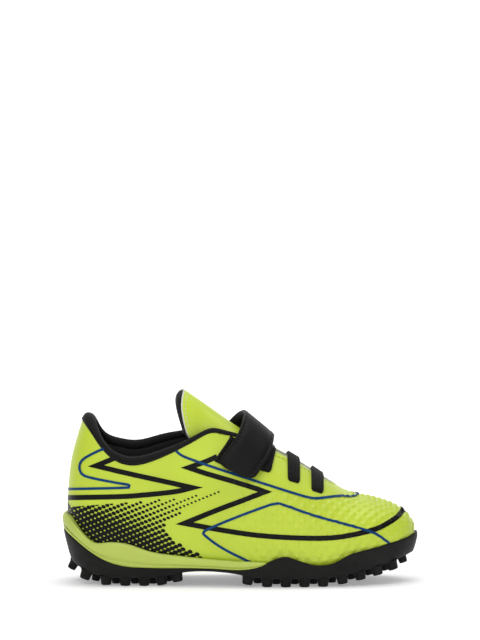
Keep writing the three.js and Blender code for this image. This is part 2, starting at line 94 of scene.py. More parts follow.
INNER_ROW = 0.52               # where the inner row stands, between the middle and the outer row
UPRIGHT_SLOPE = 0.16           # where the sole slopes less than this, its studs stand upright
LIP_START_X = 120.5            # in front of this the rubber's lip meets the upper
FOAM_END_X = 122               # in front of this the foam hides in the rubber
SMALL_STUD = 0.82              # size of the inner studs, as a share of the outer ones
STRAP_WIDTH = 22.5
STRAP_THICK = 2.0
TAPE_END_X = 106.0             # where the collar's tape ends under the strap
LACE_WIDTH = 7.0
LACE_THICK = 1.3
VIEW_ELEVATION = 5.5           # degrees, of the line of sight at the shoe
FLOOR_GLOW = 0.3               # the floor's own light under the shoe
FAR_GLOW = 0.72                # the same away from it, where no lamp reaches

LOW = Vector(CAD_BOX[0])
SHIFT = np.array([HEEL_X - LOW.x * 1000, BOX_MIDDLE_Y, 0.0])


def place(points):
    """Shoe lines in millimetres to the frame's metres."""
    return (np.asarray(points, float) - SHIFT) / 1000


# ---- small maths -----------------------------------------------------------------------------
def smooth(v, lo, hi):
    """0 below lo, 1 above hi and an even step between."""
    t = np.clip((np.asarray(v, float) - lo) / (hi - lo), 0, 1)
    return t * t * (3 - 2 * t)


def mix(a, b, t):
    return a + (b - a) * t


def curve(*points):
    """A smooth function through (x, y) points: cubic pieces with the neighbours' slope."""
    xs, ys = (np.array(values, float) for values in zip(*points))
    slopes = np.empty(len(xs))
    slopes[1:-1] = (ys[2:] - ys[:-2]) / (xs[2:] - xs[:-2])
    slopes[0] = (ys[1] - ys[0]) / (xs[1] - xs[0])
    slopes[-1] = (ys[-1] - ys[-2]) / (xs[-1] - xs[-2])

    def value(x):
        x = np.clip(np.asarray(x, float), xs[0], xs[-1])
        i = np.clip(np.searchsorted(xs, x, side="right") - 1, 0, len(xs) - 2)
        step = xs[i + 1] - xs[i]
        t = (x - xs[i]) / step
        s = 1 - t
        return (ys[i] * s * s * (1 + 2 * t) + ys[i + 1] * t * t * (3 - 2 * t)
                + slopes[i] * step * t * s * s - slopes[i + 1] * step * t * t * s)
    return value


def bisect(test, lo, hi, shape, rounds=34):
    """Where test turns from true to false, for a whole array at once."""
    low = np.full(shape, float(lo))
    high = np.full(shape, float(hi))
    for _ in range(rounds):
        middle = (low + high) / 2
        inside = test(middle)
        low = np.where(inside, middle, low)
        high = np.where(inside, high, middle)
    return (low + high) / 2


def unit(v):
    return v / np.maximum(1e-9, np.linalg.norm(v, axis=-1, keepdims=True))


# ---- the shoe's lines, against x; heel_back is against the height -------------------------------
lateral_width = curve((0, 28.5), (40, 28.5), (75, 29.5), (105, 33.5), (135, 37), (160, 36), (185, 35),
                      (210, 35))
medial_width = curve((0, 28.5), (40, 28.5), (75, 29), (105, 32), (145, 36), (165, 35.5), (185, 34.5),
                     (210, 34))
crown = curve((0, 190), (30, 160), (50, 132), (71, 119), (92, 104.5), (105, 95.5), (127, 81), (142, 71),
              (156, 61.5), (170, 53), (184.6, 49.6), (195, 46.2), (201, 42.9), (206, 38.3), (208.2, 34),
              (208.8, 30.5))
heel_back = curve((10, 7), (24, 3.8), (40, 2.6), (53, 2.7), (73, 4.7), (91, 9.5), (104, 14))
feather = curve((0, 18), (40, 17.5), (80, 14.5), (110, 11.5), (145, 10.5), (165, 12.8), (185, 17.5),
                (200, 22.6), (210, 25.6))
sole_root = curve((3, 14), (8, 11), (16, 7.4), (29, 5), (36, 5), (50, 5), (56, 5.2), (72, 8.2), (84, 9),
                  (98, 8.2), (113, 5.8), (122, 5), (130, 5), (148, 5), (156, 5.3), (168, 7), (184, 10.4),
                  (196, 13.8), (206, 17))
rubber_top = curve((0, 32.2), (6.4, 27.7), (13.5, 22.3), (24, 15.8), (35, 12.2), (50, 11), (85, 10.8),
                   (106, 10.2), (117, 12.4), (124, 16.4), (132, 18.5), (140, 16), (150, 13.2), (160, 14.2),
                   (170, 19.4), (185, 23), (199, 26.4), (210, 29.4))
midsole_top = curve((0, 41.2), (3, 40.8), (12, 31.2), (19, 26), (29, 26.4), (39, 25.2), (53, 20.6),
                    (70, 18.2), (93, 16.2), (120, 15))
lateral_collar = curve((8, 100.3), (12.5, 97.2), (17, 91.5), (24, 81), (31.4, 75), (40, 72.3), (49, 73.5),
                       (63.4, 79), (77.7, 86), (88, 91.6), (96, 91.6), (103, 88.9))
throat_half = curve((86, 19.5), (100, 17), (127, 12.5), (152, THROAT_FRONT))


def centre_y(x):
    return 5 * smooth(x, 95, 215)


def medial_rise(x):
    return 6.5 * smooth(x, 17, 36) * (1 - smooth(x, 55, 90))


def widest(x):
    return feather(x) + 8 - 4.5 * smooth(x, 180, 208)


def field(p):
    """Zero on the outside of the upper, negative inside it."""
    x, y, z = p[..., 0], p[..., 1], p[..., 2]
    side = y - centre_y(x)
    level = widest(x)
    lean = 1 - ANKLE_LEAN * smooth(z, 34, 100)
    width = np.where(side < 0, lateral_width(x), medial_width(x)) * lean
    rise = np.maximum(2.5, crown(x) - level)
    up = np.where(z > level, (z - level) / rise, (level - z) / UNDER_DEPTH)
    heel = np.maximum(0, 1 - (x - heel_back(z)) / HEEL_ROUND)
    toe = np.maximum(0, 1 - (TOE_TIP - x) / TOE_ROUND)
    ends = 1 - heel ** ROUNDNESS - toe ** ROUNDNESS
    section = 1 - up ** ROUNDNESS
    room = np.where((ends < 0) & (section < 0), -ends * section, ends * section)
    return (np.abs(side) / width) ** ROUNDNESS - room


def normals_at(p, step=0.05):
    slopes = []
    for axis in range(3):
        nudge = np.zeros(3)
        nudge[axis] = step
        slopes.append(field(p + nudge) - field(p - nudge))
    return unit(np.stack(slopes, axis=-1))


def ray_hit(origin, direction, reach=150.0):
    shape = np.broadcast_shapes(origin.shape, direction.shape)[:-1]
    distance = bisect(lambda t: field(origin + direction * t[..., None]) < 0, 0, reach, shape)
    return origin + direction * distance[..., None]


# ---- columns round the shoe: from the heel by the lateral side to the toe and back ---------------
class Columns:
    """Half planes that stand round the shoe, with the angles where the upper begins and ends."""

    def __init__(self, fan, side):
        quarter = np.arange(fan) / fan * math.pi / 2
        xs = [HEEL_AXIS_X] * fan + list(np.linspace(HEEL_AXIS_X, TOE_AXIS_X, side + 1)) + [TOE_AXIS_X] * fan
        turn = quarter + math.pi / 2 / fan
        outs = ([(-math.cos(a), math.sin(a)) for a in quarter] + [(0.0, 1.0)] * (side + 1)
                + [(math.sin(a), math.cos(a)) for a in turn])
        half_x, half_out = np.array(xs), np.array(outs)
        back = slice(-2, 0, -1)
        self.x = np.concatenate([half_x, half_x[back]])
        sign = np.concatenate([-np.ones(len(half_x)), np.ones(len(half_x) - 2)])
        out = np.concatenate([half_out, half_out[back]])
        self.side = sign
        self.out = np.stack([out[:, 0], out[:, 1] * sign, np.zeros(len(sign))], axis=1)
        self.axis = np.stack([self.x, centre_y(self.x), widest(self.x)], axis=1)
        self.count = len(self.x)
        self.half = fan * 2 + side
        self.fan = fan
        self.top = bisect(self._below_top, 0, 1.5, self.count)
        self.bottom = bisect(self._below_feather, -1, 0.6, self.count)
        self.wide = self.radius(self.axis[:, 2])

    def at(self, angle, pick=slice(None)):
        extra = (1,) * (np.ndim(angle) - 1)
        out = self.out[pick].reshape(-1, *extra, 3)
        axis = self.axis[pick].reshape(-1, *extra, 3)
        direction = out * np.cos(angle)[..., None] + np.array([0, 0, 1.0]) * np.sin(angle)[..., None]
        return ray_hit(axis, direction)

    def _below_top(self, angle):
        p = self.at(angle)
        collar = lateral_collar(p[:, 0]) + np.where(self.side > 0, medial_rise(p[:, 0]), 0)
        flat = np.linalg.norm(p[:, :2] - self.axis[:, :2], axis=1)
        front = flat > THROAT_FRONT
        along = np.abs(p[:, 1] - self.axis[:, 1]) > throat_half(self.x)
        throat = np.where(self.out[:, 0] > 1e-6, front, along)
        return np.where(self.x <= COLLAR_END_X, p[:, 2] < collar, throat)

    def _below_feather(self, angle):
        p = self.at(angle)
        return p[:, 2] < feather(p[:, 0])

    def radius(self, z):
        origin = self.axis.copy()
        origin[:, 2] = z
        return np.linalg.norm(ray_hit(origin, self.out) - origin, axis=1)

    def grid(self, heights, depth=0.0, pick=slice(None)):
        """Points on the upper, one row per column, pushed in by depth, a number or a function."""
        heights = np.asarray(heights, float)
        low = self.bottom[pick][:, None]
        high = self.top[pick][:, None]
        p = self.at(low + (high - low) * heights[None, :], pick)
        if callable(depth):
            depth = depth(self.x[pick][:, None], heights[None, :])[..., None]
        return p - normals_at(p) * depth

    def rough_x(self):
        return self.axis[:, 0] + self.out[:, 0] * END_REACH

    def settle(self, reach, height):
        """Points whose height follows their own x, and whose reach follows their height."""
        x = self.rough_x()
        distance = np.zeros(self.count)
        for _ in range(6):
            distance = reach(height(x))
            x = self.axis[:, 0] + self.out[:, 0] * distance
        p = self.axis + self.out * distance[:, None]
        p[:, 2] = height(x)
        return p

    def sole(self, height, inset):
        """Points on the sole's wall, or inset from it."""
        x = self.rough_x()
        wide = self.wide + mix(SOLE_LEDGE, TOE_LEDGE, smooth(x, 165, 191)) - inset
        return self.settle(lambda z: wide - lean_in(x, z), height)


def lean_in(x, z):
    """How far the sole's wall leans in at a height, below the level where it starts to."""
    level = 15 + 15 * (1 - smooth(x, 0, 45)) + 12 * smooth(x, 150, 200)
    return SOLE_SLOPE * np.maximum(0, level - z)


# ---- mesh building -----------------------------------------------------------------------------
def mesh_object(name, points, faces, material, fix_normals=True):
    """A smooth shaded piece from points in the shoe's millimetres."""
    mesh = bpy.data.meshes.new(name)
    mesh.from_pydata(place(points).tolist(), [], [list(map(int, face)) for face in faces])
    if fix_normals:
        work = bmesh.new()
        work.from_mesh(mesh)
        bmesh.ops.recalc_face_normals(work, faces=work.faces)
        work.to_mesh(mesh)
        work.free()
    mesh.polygons.foreach_set("use_smooth", [True] * len(mesh.polygons))
    mesh.materials.append(material)
    obj = bpy.data.objects.new(name, mesh)
    bpy.context.scene.collection.objects.link(obj)
    return obj


def grid_faces(columns, levels, closed=False, start=0):
    """Faces of a grid of points, one run of levels after another; closed joins the last run to the first."""
    faces = []
    for i in range(columns if closed else columns - 1):
        here = start + i * levels
        there = start + ((i + 1) % columns) * levels
        faces += [(here + j, there + j, there + j + 1, here + j + 1) for j in range(levels - 1)]
    return faces


def slab(outer, inner, closed=False):
    """Points and faces of a sheet with two sides and closed edges."""
    columns, levels = outer.shape[:2]
    points = np.concatenate([outer.reshape(-1, 3), inner.reshape(-1, 3)])
    inside = columns * levels
    faces = grid_faces(columns, levels, closed)
    faces += [face[::-1] for face in grid_faces(columns, levels, closed, inside)]
    for i in range(columns if closed else columns - 1):
        a = i * levels
        b = ((i + 1) % columns) * levels
        faces.append((a, inside + a, inside + b, b))
        faces.append((a + levels - 1, b + levels - 1, inside + b + levels - 1, inside + a + levels - 1))
    if not closed:
        end = (columns - 1) * levels
        faces += [(j, j + 1, inside + j + 1, inside + j) for j in range(levels - 1)]
        faces += [(end + j, inside + end + j, inside + end + j + 1, end + j + 1) for j in range(levels - 1)]
    return points, faces


def tube_faces(count, rings, start=0, capped=True):
    """Faces of a tube through rings of count points each."""
    faces = []
    for low in range(start, start + (rings - 1) * count, count):
        for i in range(count):
            n = (i + 1) % count
            faces.append((low + i, low + n, low + count + n, low + count + i))
    if capped:
        last = start + (rings - 1) * count
        faces.append(list(range(start, start + count))[::-1])
        faces.append(list(range(last, last + count)))
    return faces


def loft(loops):
    """Points and faces of stacked closed loops, capped across from side to side."""
    count = len(loops[0])
    faces = tube_faces(count, len(loops), capped=False)
    for start in (0, (len(loops) - 1) * count):
        for i in range(count // 2):
            ring = [start + i, start + i + 1, start + count - i - 1, start + (count - i) % count]
            unique = list(dict.fromkeys(ring))
            if len(unique) > 2:
                faces.append(unique)
    return np.concatenate(loops), faces


def sweep(rings):
    """Points and faces of a closed tube through rings of points."""
    return np.concatenate(rings), tube_faces(len(rings[0]), len(rings))


def trim(edge, inward, up, section):
    """Points and faces of a strip of one section, given as (inward, up) pairs, along an edge."""
    rings = [np.array([edge[i] + inward[i] * d + up[i] * r for d, r in section]) for i in range(len(edge))]
    return sweep(rings)


# ---- materials ---------------------------------------------------------------------------------
def srgb(r, g, b):
    def linear(v):
        v /= 255
        return v / 12.92 if v <= 0.04045 else ((v + 0.055) / 1.055) ** 2.4
    return (linear(r), linear(g), linear(b), 1.0)


class Shader:
    """A short way to write a node material: patterns, a colour ramp and one chain of bumps."""

    def __init__(self, name, roughness=0.5, **settings):
        self.material = bpy.data.materials.new(name)
        self.material.use_nodes = True
        self.nodes = self.material.node_tree.nodes
        self.links = self.material.node_tree.links
        self.surface = self.nodes["Principled BSDF"]
        self.surface.inputs["Roughness"].default_value = roughness
        for key, value in settings.items():
            self.surface.inputs[key.replace("_", " ")].default_value = value
        self.where = self.nodes.new("ShaderNodeTexCoord").outputs["Object"]
        self.bump_normal = None

    def add(self, kind, **inputs):
        """A new node; an input given as another node's output is linked, the others are set."""
        node = self.nodes.new("ShaderNode" + kind)
        for key, value in inputs.items():
            socket = node.inputs[key.replace("_", " ")]
            if isinstance(value, bpy.types.NodeSocket):
                self.links.new(value, socket)
            else:
                socket.default_value = value
        return node

    def drive(self, key, source):
        """Link an input of the surface."""
        self.links.new(source, self.surface.inputs[key])

    def scaled(self, scale):
        return self.add("Mapping", Scale=scale, Vector=self.where).outputs["Vector"]

    def noise(self, scale, detail=3.0, rough=0.5):
        node = self.add("TexNoise", Scale=scale, Detail=detail, Roughness=rough, Vector=self.where)
        return node.outputs["Fac"]

    def cells(self, scale, vector=None):
        return self.add("TexVoronoi", Scale=scale, Vector=vector or self.where).outputs["Distance"]

    def waves(self, scale, direction):
        node = self.add("TexWave", Scale=scale, Distortion=0, Vector=self.where)
        node.bands_direction = direction
        return node.outputs["Fac"]

    def product(self, a, b):
        node = self.add("Math")
        node.operation = "MULTIPLY"
        self.links.new(a, node.inputs[0])
        self.links.new(b, node.inputs[1])
        return node.outputs[0]

    def colour(self, factor, colour, *stops):
        """Base colour: each stop is (where the factor stands, the colour's brightness there)."""
        node = self.add("ValToRGB", Fac=factor)
        for element, (position, share) in zip(node.color_ramp.elements, stops):
            element.position = position
            element.color = [part * share for part in colour[:3]] + [1]
        self.drive("Base Color", node.outputs["Color"])

    def rough(self, factor, low, high):
        self.drive("Roughness", self.add("MapRange", To_Min=low, To_Max=high, Value=factor).outputs["Result"])

    def bump(self, height, millimetres):
        node = self.add("Bump", Distance=millimetres / 1000, Strength=1, Height=height)
        if self.bump_normal is not None:
            self.links.new(self.bump_normal, node.inputs["Normal"])
        self.bump_normal = node.outputs["Normal"]
        self.drive("Normal", self.bump_normal)


def synthetic(name, colour, roughness=0.42, grain=0.05, coat=0.08, gloss=0.5):
    """Coated synthetic leather: fine pebble grain, faint cloudy colour, soft satin gloss."""
    s = Shader(name, roughness, Coat_Weight=coat, Coat_Roughness=0.35, Specular_IOR_Level=gloss)
    clouds = s.noise(26, 4)
    s.colour(clouds, colour, (0.3, 0.93), (0.7, 1.05))
    s.rough(s.noise(180, 3), roughness - 0.06, roughness + 0.1)
    s.bump(s.cells(1500), grain)
    s.bump(s.noise(320, 4), grain * 1.4)
    return s.material


def foam_plastic(name, colour):
    """Moulded foam: matte, tiny pits, faint streaks along the mould."""
    s = Shader(name, 0.55)
    s.colour(s.noise(40, 5), colour, (0.3, 0.92), (0.7, 1.06))
    s.bump(s.cells(1300), 0.04)
    s.bump(s.noise(500, 3), 0.05)
    return s.material


def rubber(name, colour):
    """Black outsole rubber: matte, slightly greyed on high spots, with a fine moulded texture."""
    s = Shader(name, 0.55, Specular_IOR_Level=0.16)
    s.colour(s.noise(60, 6), colour, (0.35, 0.8), (0.75, 1.5))
    s.rough(s.noise(220, 3), 0.45, 0.7)
    s.bump(s.noise(900, 4), 0.05)
    return s.material


def knit(name, colour):
    """Warp-knitted lining: rows of small loops with open pores, soft and matte; its colour, darker in the
    pores and lighter on the loop tops, is painted shade and highlight.
    """
    s = Shader(name, 0.9, Sheen_Weight=0.15, Sheen_Roughness=0.5)
    loops = s.cells(1000 / 0.9, s.scaled((1, 1, 0.7)))
    # painted shade and highlight: the loop pattern that shapes the bumps also darkens the pores and lightens
    # the loop tops
    s.colour(loops, colour, (0.1, 0.45), (0.55, 1.35))
    s.bump(loops, 0.25)
    s.bump(s.noise(2400, 2), 0.05)
    return s.material


def webbing(name, colour, pitch):
    """Woven tape: fine ribs one way crossed by finer threads; its colour, darker between the threads and
    lighter on the rib tops, is painted shade and highlight.
    """
    s = Shader(name, 0.8, Sheen_Weight=0.04, Sheen_Roughness=0.45, Specular_IOR_Level=0.2)
    weave = s.product(s.waves(1000 / pitch / 6.3, "X"), s.waves(1600 / pitch / 6.3, "Z"))
    # painted shade and highlight: the weave that shapes the bumps also darkens the grooves and lightens the
    # ribs
    s.colour(weave, colour, (0.05, 0.6), (0.8, 1.5))
    s.bump(weave, 0.16)
    return s.material


def fuzz(name, colour):
    """Hook-and-loop tape: a felted mat of tiny loops; its colour, darker in the hollows of the pile and
    lighter on its tops, is painted shade and highlight.
    """
    s = Shader(name, 0.95, Sheen_Weight=0.06, Sheen_Roughness=0.6, Specular_IOR_Level=0.1)
    mat = s.noise(1500, 5, rough=0.7)
    # painted shade and highlight: the same noise that raises the pile darkens its hollows and lightens its
    # tops
    s.colour(mat, colour, (0.3, 0.5), (0.7, 1.5))
    s.bump(mat, 0.5)
    return s.material


def print_ink(name, colour):
    """Printed film on the upper: thin, slightly glossy, a little uneven."""
    s = Shader(name, 0.4, Specular_IOR_Level=0.14)
    s.colour(s.noise(300, 4), colour, (0.3, 0.85), (0.8, 1.25))
    s.bump(s.noise(700, 3), 0.03)
    return s.material


def board(name, colour):
    """Pressed fibre board."""
    s = Shader(name, 0.9)
    s.colour(s.noise(400, 6, rough=0.7), colour, (0.3, 0.7), (0.7, 1.15))
    s.bump(s.noise(900, 4), 0.1)
    return s.material


def thread(name, colour):
    """Twisted sewing thread."""
    s = Shader(name, 0.6, Sheen_Weight=0.1, Specular_IOR_Level=0.2)
    s.colour(s.noise(2500, 2), colour, (0.3, 0.8), (0.7, 1.1))
    s.bump(s.waves(900, "DIAGONAL"), 0.06)
    return s.material


M = {
    "lime": synthetic("lime_synthetic", srgb(190, 210, 52)),
    "edge": synthetic("cut_edge", srgb(205, 205, 190), 0.8),
    "midsole": foam_plastic("midsole_foam", srgb(184, 200, 87)),
    "rubber": rubber("outsole_rubber", srgb(19, 19, 18)),
    "lining": knit("lining_knit", srgb(17, 17, 16)),
    "binding": webbing("binding_tape", srgb(15, 15, 14), 0.7),
    "elastic": webbing("lace_elastic", srgb(16, 16, 15), 1.0),
    "strap": synthetic("strap_synthetic", srgb(11, 11, 10), 0.5, 0.09, 0.0, 0.16),
    "fuzz": fuzz("hook_and_loop", srgb(13, 13, 12)),
    "ink_black": print_ink("ink_black", srgb(13, 14, 12)),
    "ink_blue": print_ink("ink_blue", srgb(8, 60, 108)),
    "board": board("fibre_board", srgb(150, 146, 136)),
    "foam": foam_plastic("open_foam", srgb(214, 208, 190)),
    "stitch_pale": thread("stitch_pale", srgb(226, 232, 190)),
    "stitch_black": thread("stitch_black", srgb(26, 26, 25)),
    "lime_thread": thread("lime_thread", srgb(172, 192, 60)),
}


# ---- camera, light and floor --------------------------------------------------------------------
def make_camera():
    """Side view from the lateral side and a little above, from far off."""
    frame_height = 380.2       # what the picture's height shows at the shoe
    distance = 3000.0
    aim_height = 155.8
    aim_over_shoe = math.degrees(math.atan(100 / distance))
    tilt = math.radians(VIEW_ELEVATION - aim_over_shoe)
    target = place([105.0, 0, aim_height])
    away = np.array([0, -math.cos(tilt), math.sin(tilt)]) * distance / 1000
    data = bpy.data.cameras.new("camera")
    data.sensor_width = 36
    data.lens = 36 * distance / frame_height
    data.clip_end = 50
    camera = bpy.data.objects.new("camera", data)
    camera.location = target + away
    camera.rotation_euler = Vector(-away).to_track_quat("-Z", "Y").to_euler()
    bpy.context.scene.collection.objects.link(camera)
    bpy.context.scene.camera = camera


def area_light(name, location, aim, size, power):
    data = bpy.data.lights.new(name, "AREA")
    data.shape = "RECTANGLE"
    data.size, data.size_y = size
    data.energy = power
    lamp = bpy.data.objects.new(name, data)
    lamp.location = location
    lamp.rotation_euler = (Vector(aim) - Vector(location)).to_track_quat("-Z", "Y").to_euler()
    bpy.context.scene.collection.objects.link(lamp)


def paper(name, glow):
    """White studio paper that glows a little, more with the distance from the shoe."""
    s = Shader(name + "_paper", 0.9, Base_Color=(0.8, 0.8, 0.8, 1), Emission_Color=(1, 1, 1, 1))
    length = s.add("VectorMath", Vector=s.where)
    length.operation = "LENGTH"
    spread = s.add("MapRange", From_Min=0.12, From_Max=0.7, To_Min=glow, To_Max=FAR_GLOW,
                   Value=length.outputs["Value"])
    s.drive("Emission Strength", spread.outputs["Result"])
    return s.material


def make_studio():
    scene = bpy.context.scene
    scene.view_settings.view_transform = "Standard"
    scene.view_settings.look = "None"
    world = bpy.data.worlds.new("studio")
    scene.world = world
    world.use_nodes = True
    background = world.node_tree.nodes["Background"]
    background.inputs["Color"].default_value = (1, 1, 1, 1)
    background.inputs["Strength"].default_value = 0.32
    area_light("key", (-0.35, -0.9, 0.9), (0, 0, 0.04), (0.7, 0.5), 4.4)
    area_light("top", (0.1, 0.15, 1.3), (0, 0, 0), (1.2, 1.0), 10.5)
    area_light("front_fill", (0.5, -1.4, 0.35), (0.02, 0, 0.05), (0.9, 0.7), 2.4)
    upright = math.pi / 2
    for name, distance, turn, glow in (("floor", 0, 0, FLOOR_GLOW), ("backdrop", 11.9, upright, FAR_GLOW)):
        bpy.ops.mesh.primitive_plane_add(size=24, location=(0, distance, 0), rotation=(turn, 0, 0))
        sheet = bpy.context.object
        sheet.name = name
        sheet.data.materials.append(paper(name, glow))


# ---- sole ------------------------------------------------------------------------------------
FINE = Columns(fan=24, side=110)


def sole_floor(x):
    """Height of the rubber's inside."""
    return sole_root(x) + np.minimum(2.2, 0.7 * (rubber_top(x) - sole_root(x)))


def make_outsole():
    """A cup with a rounded lower edge; in front its lip meets the upper."""
    c = FINE
    rows = [c.sole(lambda x, rise=rise: sole_root(x) + rise, inset)
            for rise, inset in ((0, 3.2), (0.25, 1.5), (0.9, 0.5))]
    for t in (0.25, 0.5, 0.75, 0.93):
        rows.append(c.sole(lambda x, t=t: mix(sole_root(x) + 0.9, rubber_top(x), t), 0.25 * (1 - t) ** 2))
    rows.append(c.sole(lambda x: rubber_top(x) - 0.05, 0.15))
    rows.append(c.sole(rubber_top, 0.45))
    front = c.sole(rubber_top, 0)[:, 0] > LIP_START_X
    lip = c.settle(lambda z: c.radius(z) - 0.3, lambda x: rubber_top(x) - 0.1)
    rows.append(np.where(front[:, None], lip, c.sole(rubber_top, RUBBER_WALL)))
    rows.append(c.sole(sole_floor, RUBBER_WALL))
    points, faces = loft(rows)
    body = mesh_object("outsole_rubber", points, faces, M["rubber"])
    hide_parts("outsole")
    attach(body, "shoe")


def stud_line(x, side):
    """How far to the side the outer studs stand."""
    width = lateral_width(x) if side < 0 else medial_width(x)
    heel = max(0, 1 - (x - 4) / HEEL_ROUND)
    toe = max(0, 1 - (TOE_TIP - x) / TOE_ROUND)
    round_end = (1 - heel ** ROUNDNESS - toe ** ROUNDNESS) ** (1 / ROUNDNESS)
    return centre_y(x) + side * (width * round_end + SOLE_LEDGE - lean_in(x, STUD_LEVEL) - STUD_EDGE)


def stud_places():
    """(x, y, radius) of each stud: an outer row, an inner row and a few along the middle."""
    small = STUD_BASE * SMALL_STUD
    places = []
    for x in (14.5, 25.9, 37.2, 48.4, 58.2, 67.4, 110, 121, 132, 143, 154, 165, 175.5, 185.5, 194.5):
        places += [(x, stud_line(x, side), STUD_BASE) for side in (-1, 1)]
    for x in (20.2, 31.5, 42.8, 53.3, 62.8, 115.5, 126.5, 137.5, 148.5, 159.5, 170.5, 181, 190.5):
        places += [(x, mix(centre_y(x), stud_line(x, side), INNER_ROW), small) for side in (-1, 1)]
    return places + [(x, centre_y(x), small) for x in (6.8, 121, 132, 143, 154, 165, 201)]


def make_studs():
    """Tapered studs with a soft foot, rounded rim and a dimple in the tip.

    profile gives (share of the radius, depth below the sole). A stud under a low part is shortened.
    """
    segments = 18
    profile = [(1.30, 0.5), (1.12, -0.15), (1.01, -0.9), (0.95, -2.6), (0.90, -4.1), (0.84, -4.7),
               (0.72, -5.0), (0.34, -5.0), (0.26, -4.6)]
    angles = np.arange(segments) / segments * 2 * math.pi
    points, faces = [], []
    for x, y, radius in stud_places():
        slope = float(sole_root(x + 1) - sole_root(x - 1)) / 2
        tilt = 0 if abs(slope) < UPRIGHT_SLOPE else math.atan(slope)
        root = float(sole_root(x))
        length = min(STUD_HEIGHT, root) / STUD_HEIGHT
        faces += tube_faces(segments, len(profile), start=len(points))
        for share, depth in profile:
            for a in angles:
                px = radius * share * math.cos(a)
                pz = depth * (length if depth < 0 else 1)
                points.append((x + px * math.cos(tilt) - pz * math.sin(tilt),
                               y + radius * share * math.sin(a),
                               root + px * math.sin(tilt) + pz * math.cos(tilt)))
    studs = mesh_object("outsole_studs", points, faces, M["rubber"])
    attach(studs, "shoe")


def make_midsole():
    """Foam that stands out over the rubber from heel to waist, and hides inside it in front."""
    c = FINE
    hidden = 2.1
    edge_x = c.sole(rubber_top, 0)[:, 0]
    visible = (midsole_top(edge_x) > rubber_top(edge_x) + 1) & (edge_x < FOAM_END_X)

    def row(share, inset, drop):
        shown = c.sole(lambda x: mix(rubber_top(x) + 0.2, midsole_top(x), share), inset)
        under = c.sole(lambda x: rubber_top(x) - 1 - drop, hidden)
        return np.where(visible[:, None], shown, under)
    rows = [c.sole(lambda x: sole_floor(x) + 0.35, hidden), row(0, hidden, 1.5), row(0, 0.5, 1.2)]
    swell = [(0.08, 0.0), (0.17, -0.3), (0.215, 0.35), (0.26, 0.4), (0.31, -0.35), (0.5, -0.65), (0.7, -0.75),
             (0.85, -0.5), (0.95, 0.0), (0.99, 0.6), (1.0, 1.2)]
    rows += [row(share, inset, 0.9 - share * 0.9) for share, inset in swell]
    rim = np.where(visible, midsole_top(edge_x), rubber_top(edge_x) - 1)
    for t in (0, 0.2, 0.4, 0.6, 0.8, 1):
        rows.append(c.settle(lambda z: c.radius(z) + 0.15, lambda x, t=t: mix(rim, feather(x) - 0.35, t)))
    points, faces = loft(rows)
    body = mesh_object("midsole_foam", points, faces, M["midsole"])
    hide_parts("midsole")
    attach(body, "shoe")


# ---- upper -----------------------------------------------------------------------------------
FINE_UPPER = Columns(fan=60, side=190)
BUMP_PITCH = 6.6
BUMP_HEIGHT = 0.75
plain_line = curve((100, 66), (122, 60), (145, 53), (160, 52), (176, 62), (186, 90))


def emboss(p):
    """Height of the moulded bumps on the forefoot: staggered rows, flat near the laces."""
    x, y, z = p[..., 0], p[..., 1], p[..., 2]
    girth = 30 * np.arctan2(z - widest(x), np.abs(y - centre_y(x)))
    across = np.cos(x / BUMP_PITCH * math.pi) ** 2
    around = np.cos(girth / (BUMP_PITCH * 0.95) * math.pi) ** 2
    lump = np.clip(across * around + (1 - across) * (1 - around) - 0.5, 0, 1) * 2
    where = smooth(x, 88, 118) * smooth(plain_line(x) - z, -1, 5) * smooth(z - feather(x), 2, 6)
    return BUMP_HEIGHT * smooth(lump, 0, 1) * where


def upper_surface(p):
    """Finished outside of the upper, bumps and all, for points on the plain body surface."""
    return p + normals_at(p) * emboss(p)[..., None]


def make_upper():
    """The synthetic shell, with its embossed forefoot and a slightly rounded top edge."""
    c = FINE_UPPER
    heights = np.linspace(0, 1, 110)
    outer = upper_surface(c.grid(heights))
    inner = c.grid(heights, SHELL)
    outer[:, -1] -= normals_at(outer[:, -1]) * 0.25
    points, faces = slab(outer, inner, closed=True)
    upper = mesh_object("upper_synthetic", points, faces, M["lime"])
    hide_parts("upper_shell")
    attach(upper, "shoe")


# ---- collar: tape round the edge and a padded lining behind it --------------------------------
def padded_depth(x, height):
    """How deep the lining lies behind the upper's face."""
    return LINING_DEPTH + PAD * smooth(height, 0.45, 0.75) * (1 - smooth(x, 52, 78))


def quarter_last(end_x):
    """The number of the last column of the heel quarters, counted from the heel's middle."""
    c = FINE_UPPER
    return c.fan + int((end_x - HEEL_AXIS_X) / (TOE_AXIS_X - HEEL_AXIS_X) * (c.half - 2 * c.fan))


def quarter_pick(end_x):
    """The columns round the heel, from one side's end_x to the other's."""
    last = quarter_last(end_x)
    return np.arange(-last, last + 1) % FINE_UPPER.count


def edge_line(height, pick):
    """Points on the upper's outside along one height, 1 being its top edge."""
    return FINE_UPPER.grid([height], 0.0, pick)[:, 0]


def collar_frame():
    """Along the tape: its edge, the step across to the lining and the direction up, evened out."""
    pick = quarter_pick(TAPE_END_X)
    edge = edge_line(1.0, pick)
    up = unit(edge - edge_line(0.97, pick))
    inner = FINE_UPPER.grid([1.0], lambda x, h: padded_depth(x, h) + 0.9, pick)[:, 0]
    width = np.linalg.norm(inner - edge, axis=1, keepdims=True)
    return even_out(edge), even_out((inner - edge) / width) * even_out(width), even_out(up)


def even_out(values, rounds=70):
    """Moving average along a run of columns, with its ends held."""
    for _ in range(rounds):
        values = np.concatenate([values[:1], (values[:-2] + 2 * values[1:-1] + values[2:]) / 4, values[-1:]])
    return values


